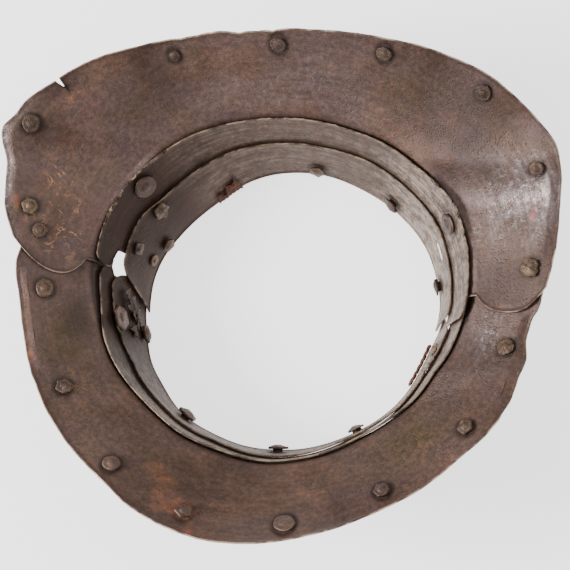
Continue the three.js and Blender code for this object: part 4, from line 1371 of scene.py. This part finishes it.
# %% Node group: bare places, also painted light, with painted glints
bare_and_painted_glint_group, given, out = new_group(
    "bare places",
    [("Vector", "Vector", None), ("Where", "Float", 0.0), ("Painted glints", "Float", 0.8)],
    [("Mask", "Float"), ("Painted glints", "Float")],
)
# the bare mask is worn metal, and at the lit places also painted light
bare_and_painted_light_amount = ramp(bare_and_painted_glint_group, noise(bare_and_painted_glint_group, given["Vector"], 190.0, 9.0, 0.78), 0.4, 0.6)
bare_and_painted_light_amount = maths(bare_and_painted_glint_group, "MULTIPLY_ADD", bare_and_painted_light_amount, 0.85, 0.2)
bare_and_painted_light_amount = maths(bare_and_painted_glint_group, "MULTIPLY", given["Where"], bare_and_painted_light_amount, clamp=True)
# painted glints: near-white specks laid into the colour where the mask allows
painted_sparks = ramp(bare_and_painted_glint_group, noise(bare_and_painted_glint_group, given["Vector"], 330.0, 10.0, 0.85), 0.53, 0.62)
allowed = maths(bare_and_painted_glint_group, "MULTIPLY", given["Where"], given["Painted glints"])
finish_group(bare_and_painted_glint_group, out, {"Mask": bare_and_painted_light_amount, "Painted glints": maths(bare_and_painted_glint_group, "MULTIPLY", painted_sparks, allowed)})

# %% Node group: bright worn edges
wear, given, out = new_group(
    "edge wear",
    [("Vector", "Vector", None), ("Amount", "Float", 0.8)],
    [("Mask", "Float")],
)
patchy = ramp(wear, noise(wear, given["Vector"], 110.0, 4.0, 0.6), 0.4, 0.6)
edge = ramp(wear, mask(wear, "edge"), 0.5, 0.95)
bright = maths(wear, "MULTIPLY", maths(wear, "MULTIPLY", edge, patchy), given["Amount"], clamp=True)
finish_group(wear, out, {"Mask": bright})

# %% [markdown]
# ## Old steel
# The finish is laid on in the order in which it came about on the real thing: brown tarnish and
# its clouds first, then what was rubbed bare, then soot and rust, then scratches, pits and worn
# edges. The bare layer also holds painted light and painted glints, and the soot layer holds
# painted shade. Each layer is a mix over the one below, with a mask as its factor. One function
# makes plates, collar and rivets, and a table of colours and shares makes them differ.

# %% Tarnish and brush strokes
def cloud_mask(tree, place, scale, low, high):
    """Only the mask of the clouds group."""
    return use(tree, clouds, {"Vector": place, "Scale": scale, "Low": low, "High": high})["Mask"]


def tarnish(tree, place, look):
    """Dark and light clouds, then purple, warm and olive ones."""
    feeds = {"Vector": place, "Scale": 17.0, "Low": 0.38, "High": 0.62}
    colour = use(tree, clouds, {**feeds, "First": look["dark"], "Second": look["light"]})["Color"]
    purple = cloud_mask(tree, place, 40.0, 0.42, 0.68)
    colour = mix(tree, maths(tree, "MULTIPLY", purple, 0.85), colour, look["purple"])
    warm = cloud_mask(tree, place, 30.0, 0.5, 0.68)
    colour = mix(tree, maths(tree, "MULTIPLY", warm, look["warm_share"]), colour, look["warm"])
    green = maths(tree, "MULTIPLY", mask(tree, "olive"), ramp(tree, noise(tree, place, 40.0), 0.35, 0.65))
    return mix(tree, maths(tree, "MULTIPLY", green, 0.75), colour, look["olive"])


def grained(tree, colour, share, where, look):
    """Overlays a pattern that goes from the dark to the light speckle colour."""
    pattern = mix(tree, where, look["speck_dark"], look["speck_light"])
    return mix(tree, share, colour, pattern, "OVERLAY")


print("tarnish mixes in", ["dark", "light", "purple", "warm", "olive"])


# %% Bare metal with painted light and glints, soot with painted shade, and rust
def bare_metal(tree, colour, bare, streaks, look):
    """Streaked clean metal over the tarnish, also painted light at lit places, and painted glints."""
    streaked = mix(tree, maths(tree, "MULTIPLY", streaks, look["streaks"]), look["bare"], look["bare_light"])
    colour = mix(tree, maths(tree, "MULTIPLY", bare["Mask"], look["bare_share"]), colour, streaked)
    # painted glints: the near-white glint colour mixed into the colour
    return mix(tree, bare["Painted glints"], colour, painted_glint_colour)


def soot_painted_shade_and_rust(tree, place, colour, look):
    """Soot and painted shade, then rust in two browns. Gives the colour and the rust's mask."""
    # soot, and painted shade in the neck, round the burs and on the pivot side of the collar
    soot_and_painted_shade = maths(tree, "MULTIPLY", mask(tree, "soot_and_painted_shade"), look["soot_and_painted_shade_share"])
    colour = mix(tree, soot_and_painted_shade, colour, look["soot_and_painted_shade"])
    rust = use(tree, rusting, {"Vector": place, "Scale": 70.0, "Where": mask(tree, "rust")})["Mask"]
    patches = ramp(tree, noise(tree, place, 260.0), 0.35, 0.65)
    rust_colour = mix(tree, patches, look["rust_dark"], look["rust"])
    return mix(tree, maths(tree, "MULTIPLY", rust, 0.6), colour, rust_colour), rust


# painted highlight: the glint colour is a near-white laid in for painted glints; pink is a stain
painted_glint_colour, pink_colour = screen(236, 226, 222), screen(214, 120, 128)
print("glints, as linear light:", np.round(painted_glint_colour[:3], 2))


# %% Scratches
def scratch_mask(tree, place, scale, width, where):
    """Only the mask of the scratches group."""
    return use(tree, scratches, {"Vector": place, "Scale": scale, "Width": width, "Where": where})["Mask"]


def scratched(tree, place, colour, look):
    """A web of coarse and fine scratches in the veined places, and stray ones everywhere. Gives the
    colour and the web's mask."""
    where = maths(tree, "MULTIPLY", mask(tree, "veins"), 1.7, clamp=True)
    coarse = scratch_mask(tree, place, 48.0, 0.02, where)
    fine = scratch_mask(tree, place, 125.0, 0.026, where)
    veins = maths(tree, "MAXIMUM", coarse, maths(tree, "MULTIPLY", fine, 0.7))
    stray = scratch_mask(tree, place, 30.0, 0.004, 0.14)
    colour = mix(tree, maths(tree, "MULTIPLY", veins, 0.85), colour, look["vein"])
    return mix(tree, stray, colour, look["vein"]), veins


print("the coarse web winds round bumps about", round(1000 / 48.0), "mm wide")


# %% Old steel
def old_steel(name, look):
    """Tarnish, brush strokes, bare places with painted light and glints, soot with painted
    shade, rust, scratches, pits and edges, in that order.
    """
    material = bpy.data.materials.new(name)
    material.use_nodes = True
    tree = material.node_tree
    shader = tree.nodes["Principled BSDF"]
    place = node(tree, "ShaderNodeTexCoord").outputs["Object"]
    speckle = use(tree, speckling, {"Vector": place, "Scale": 420.0})["Mask"]
    colour = grained(tree, tarnish(tree, place, look), 0.42, speckle, look)
    stroke = use(tree, strokes, {"Map": node(tree, "ShaderNodeUVMap").outputs[0]})
    colour = grained(tree, colour, look["brushing"], stroke["Brushed"], look)
    # bare metal, partly painted light, with painted glints
    bare = use(tree, bare_and_painted_glint_group, {"Vector": place, "Where": mask(tree, "bare"), "Painted glints": look["painted_glints"]})
    colour = bare_metal(tree, colour, bare, stroke["Streaks"], look)
    colour, rust = soot_painted_shade_and_rust(tree, place, colour, look)
    colour, veins = scratched(tree, place, colour, look)
    pits = use(tree, pitting, {"Vector": place, "Scale": 620.0, "Amount": 0.55})
    colour = mix(tree, maths(tree, "MULTIPLY", pits["Mask"], 0.16), colour, look["speck_dark"])
    edges = use(tree, wear, {"Vector": place, "Amount": look["edge_share"]})["Mask"]
    colour = mix(tree, edges, colour, look["edge"])
    colour = mix(tree, maths(tree, "MULTIPLY", mask(tree, "pink"), 0.6), colour, pink_colour)
    tree.links.new(colour, shader.inputs["Base Color"])
    rough = maths(tree, "MULTIPLY_ADD", speckle, 0.16, look["roughness"])
    rough = maths(tree, "MULTIPLY_ADD", bare["Mask"], -0.12, rough)
    rough = maths(tree, "MULTIPLY_ADD", rust, 0.3, rough, clamp=True)
    tree.links.new(rough, shader.inputs["Roughness"])
    shader.inputs["Specular IOR Level"].default_value = look["shine"]
    metal = maths(tree, "MULTIPLY_ADD", rust, -0.6, look["metallic"])
    metal = maths(tree, "MULTIPLY_ADD", bare["Mask"], 0.15, metal, clamp=True)
    tree.links.new(metal, shader.inputs["Metallic"])
    relief = maths(tree, "MULTIPLY_ADD", noise(tree, place, 120.0, 4.0), 1.5, pits["Height"])
    relief = maths(tree, "MULTIPLY_ADD", rust, 0.5, relief)
    relief = maths(tree, "MULTIPLY_ADD", veins, -0.5, relief)
    bump = node(tree, "ShaderNodeBump", {"Strength": look["bump"], "Distance": 0.00035, "Height": relief})
    tree.links.new(bump.outputs[0], shader.inputs["Normal"])
    print(name + ":", len(tree.nodes), "nodes")
    return material


# %% Looks of plates, collar and rivets
# The bare colours also paint light at the lit places, glints is the share of painted glints, and soot is
# also the colour of painted shade.
plate_look = {
    "dark": screen(86, 66, 55), "light": screen(128, 105, 94), "purple": screen(112, 93, 94),
    "warm": screen(122, 84, 60), "warm_share": 0.36,
    "olive": screen(94, 80, 48), "speck_dark": screen(44, 32, 26), "speck_light": screen(206, 186, 174),
    "bare": screen(142, 124, 121), "bare_light": screen(200, 188, 186), "bare_share": 0.85, "streaks": 0.6,
    "soot_and_painted_shade": screen(34, 24, 20), "soot_and_painted_shade_share": 0.75,
    "rust": screen(156, 90, 54), "rust_dark": screen(106, 60, 40),
    "vein": screen(216, 156, 112), "edge": screen(214, 190, 164), "edge_share": 0.7, "painted_glints": 0.8,
    "roughness": 0.43, "metallic": 0.4, "bump": 0.55, "shine": 0.5, "brushing": 0.16,
}
collar_look = {
    **plate_look, "dark": screen(60, 43, 34), "light": screen(92, 71, 59), "purple": screen(78, 62, 57),
    "warm": screen(96, 64, 44), "warm_share": 0.5,
    "bare": screen(124, 104, 92), "bare_light": screen(190, 172, 157), "bare_share": 0.8, "streaks": 0.9,
    "soot_and_painted_shade_share": 0.6, "soot_and_painted_shade": screen(40, 28, 22), "roughness": 0.56, "metallic": 0.25, "bump": 0.45,
    "edge": screen(186, 162, 136), "edge_share": 0.6, "painted_glints": 0.15, "shine": 0.25,
}
rivet_look = {
    **plate_look, "dark": screen(66, 52, 43), "light": screen(144, 122, 102), "edge_share": 0.85,
    "edge": screen(210, 188, 164), "roughness": 0.46, "metallic": 0.5, "bump": 1.0,
}
plate_steel = old_steel("plate steel", plate_look)
collar_steel = old_steel("collar steel", collar_look)
rivet_iron = old_steel("rivet iron", rivet_look)

# %% [markdown]
# ## Dry leather
# Hardly any of the lining is left: two stiff, red-brown scraps. Old leather cracks into small
# islands, which the borders of Voronoi cells look like. The cracks are darker and lower, and the
# frayed border is paler, by the same edge wear as on the steel.

# %% Dry leather
def dry_leather():
    """Red-brown clouds, darker in the cracks between cells, paler where the edge mask is high."""
    material = bpy.data.materials.new("dry leather")
    material.use_nodes = True
    tree = material.node_tree
    shader = tree.nodes["Principled BSDF"]
    place = node(tree, "ShaderNodeTexCoord").outputs["Object"]
    browns = {"First": screen(70, 38, 27), "Second": screen(120, 68, 48)}
    feeds = {"Vector": place, "Scale": 120.0, "Low": 0.35, "High": 0.65}
    colour = use(tree, clouds, {**feeds, **browns})["Color"]
    grain = node(tree, "ShaderNodeTexVoronoi", {"Vector": place, "Scale": 900.0}, feature="DISTANCE_TO_EDGE")
    cracks = ramp(tree, grain.outputs["Distance"], 0.0, 0.12)
    colour = mix(tree, cracks, screen(50, 26, 20), colour)
    worn_edge = use(tree, wear, {"Vector": place, "Amount": 0.5})["Mask"]
    tree.links.new(mix(tree, worn_edge, colour, screen(170, 112, 82)), shader.inputs["Base Color"])
    shader.inputs["Roughness"].default_value = 0.85
    bump = node(tree, "ShaderNodeBump", {"Strength": 0.6, "Distance": 0.0003, "Height": cracks})
    tree.links.new(bump.outputs[0], shader.inputs["Normal"])
    print("dry leather:", len(tree.nodes), "nodes")
    return material


leather_finish = dry_leather()

# %% [markdown]
# ## Join the pieces to the frame
# Each piece takes its finish, rides on the body of the node that it stands for, and replaces that
# node. The flakes have no node of their own, so they only ride.

# %% Finish, ride and replace
bodies = frame["record"]["behaviour"]["bodies"]
body_of = {node_name: body for body, names in bodies.items() for node_name in names}


def settle(piece, node_name, finish):
    """Gives a piece its finish and its body, and lets it stand for its node."""
    piece.data.materials.append(finish)
    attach(piece, body_of[node_name])
    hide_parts(node_name)


for name, piece in plates.items():
    settle(piece, name, plate_steel)
for name, piece in lames.items():
    settle(piece, name, collar_steel)
for name, piece in rivets.items():
    settle(piece, name, rivet_iron)
for name, piece in leathers.items():
    settle(piece, name, leather_finish)
for piece in flakes:
    piece.data.materials.append(collar_steel)
    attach(piece, "front_half")
print("pieces that ride:", len(plates) + len(lames) + len(rivets) + len(leathers) + len(flakes))

# %% [markdown]
# ## Floor and light
# Such an object is photographed on plain white, with little shadow. The floor is pale and glows a
# little, so that it stays light under the object too. The world lights evenly from all round. A
# lamp at the pivot side, which is the left of the picture, draws the edges and the dents, and a
# larger and weaker one opposite keeps the shadows open.

# %% Floor
def stage_floor():
    """One pale square, four corners on the ground, that glows a little."""
    floor_half = 6.0  # metres
    corners = [(-floor_half, -floor_half, 0), (floor_half, -floor_half, 0), (floor_half, floor_half, 0),
               (-floor_half, floor_half, 0)]
    mesh = bpy.data.meshes.new("pale_floor")
    mesh.from_pydata(corners, [], [(0, 1, 2, 3)])
    floor = bpy.data.objects.new("pale_floor", mesh)
    bpy.context.scene.collection.objects.link(floor)
    paint = bpy.data.materials.new("pale floor")
    paint.use_nodes = True
    shader = paint.node_tree.nodes["Principled BSDF"]
    shader.inputs["Base Color"].default_value = (0.9, 0.9, 0.9, 1)
    shader.inputs["Roughness"].default_value = 0.9
    shader.inputs["Emission Color"].default_value = (1, 1, 1, 1)
    shader.inputs["Emission Strength"].default_value = 1.7
    mesh.materials.append(paint)
    print("floor:", 2 * floor_half, "m square")


stage_floor()

# %% Light
world = bpy.data.worlds.new("studio")
bpy.context.scene.world = world
world.use_nodes = True
world.node_tree.nodes["Background"].inputs["Color"].default_value = (1, 1, 1, 1)
world.node_tree.nodes["Background"].inputs["Strength"].default_value = 0.56


def soft_lamp(name, place, aim, size, watts):
    """A square lamp that looks at a point, with place and size in metres."""
    data = bpy.data.lights.new(name, "AREA")
    data.size = size
    data.energy = watts
    lamp = bpy.data.objects.new(name, data)
    lamp.location = place
    lamp.rotation_mode = "QUATERNION"
    lamp.rotation_quaternion = (Vector(aim) - Vector(place)).to_track_quat("-Z", "Y")
    bpy.context.scene.collection.objects.link(lamp)
    print(name, "lamp:", watts, "W,", size, "m wide")


lamp_aim = (0, 0, 0.05)
soft_lamp("key", (-1.35, -0.3, 1.0), lamp_aim, 0.6, 39)
soft_lamp("fill", (1.2, 0.3, 1.5), lamp_aim, 1.2, 9)

# %% [markdown]
# ## Camera
# The picture looks into the neck hollow from nearly overhead, and it is rolled, so that the pivot
# side comes to its left and the back half to its top. The camera is placed by two angles and a
# roll, about a point at the height of the throat. Its lens follows from its distance and from
# what a pixel measures at the throat, so the scale is right by itself.

# %% Camera
# The picture is 570 pixels wide, and a pixel is 0.51 mm at the throat.
frame_pixels = 570
pixel_size = 0.51
camera_distance = 1500.0
azimuth, elevation, roll = math.radians(41.5), math.radians(75.4), math.radians(36.0)
target = np.array([0.0, 0.0, collar_height])
picture_middle_shift = (5.0, 4.0)  # in pixels, to the right and up

sight = np.array([-math.sin(azimuth) * math.cos(elevation), math.cos(azimuth) * math.cos(elevation),
                  -math.sin(elevation)])
level_right = np.array([math.cos(azimuth), math.sin(azimuth), 0.0])
level_up = np.cross(level_right, sight)
right = math.cos(roll) * level_right - math.sin(roll) * level_up
up = math.sin(roll) * level_right + math.cos(roll) * level_up
shift = (right * picture_middle_shift[0] + up * picture_middle_shift[1]) * pixel_size
eye = (target + middle + shift - sight * camera_distance) * MM

camera_data = bpy.data.cameras.new("camera")
camera_data.sensor_width = 36.0
camera_data.lens = camera_data.sensor_width * camera_distance / (frame_pixels * pixel_size)
camera_data.clip_end = 50.0
camera = bpy.data.objects.new("camera", camera_data)
bpy.context.scene.collection.objects.link(camera)
camera_turn = Matrix([[right[i], up[i], -sight[i]] for i in range(3)])
camera.matrix_world = Matrix.Translation(Vector(eye)) @ camera_turn.to_4x4()
bpy.context.scene.camera = camera
print("camera at", eye.round(3), "lens", round(camera_data.lens, 1))
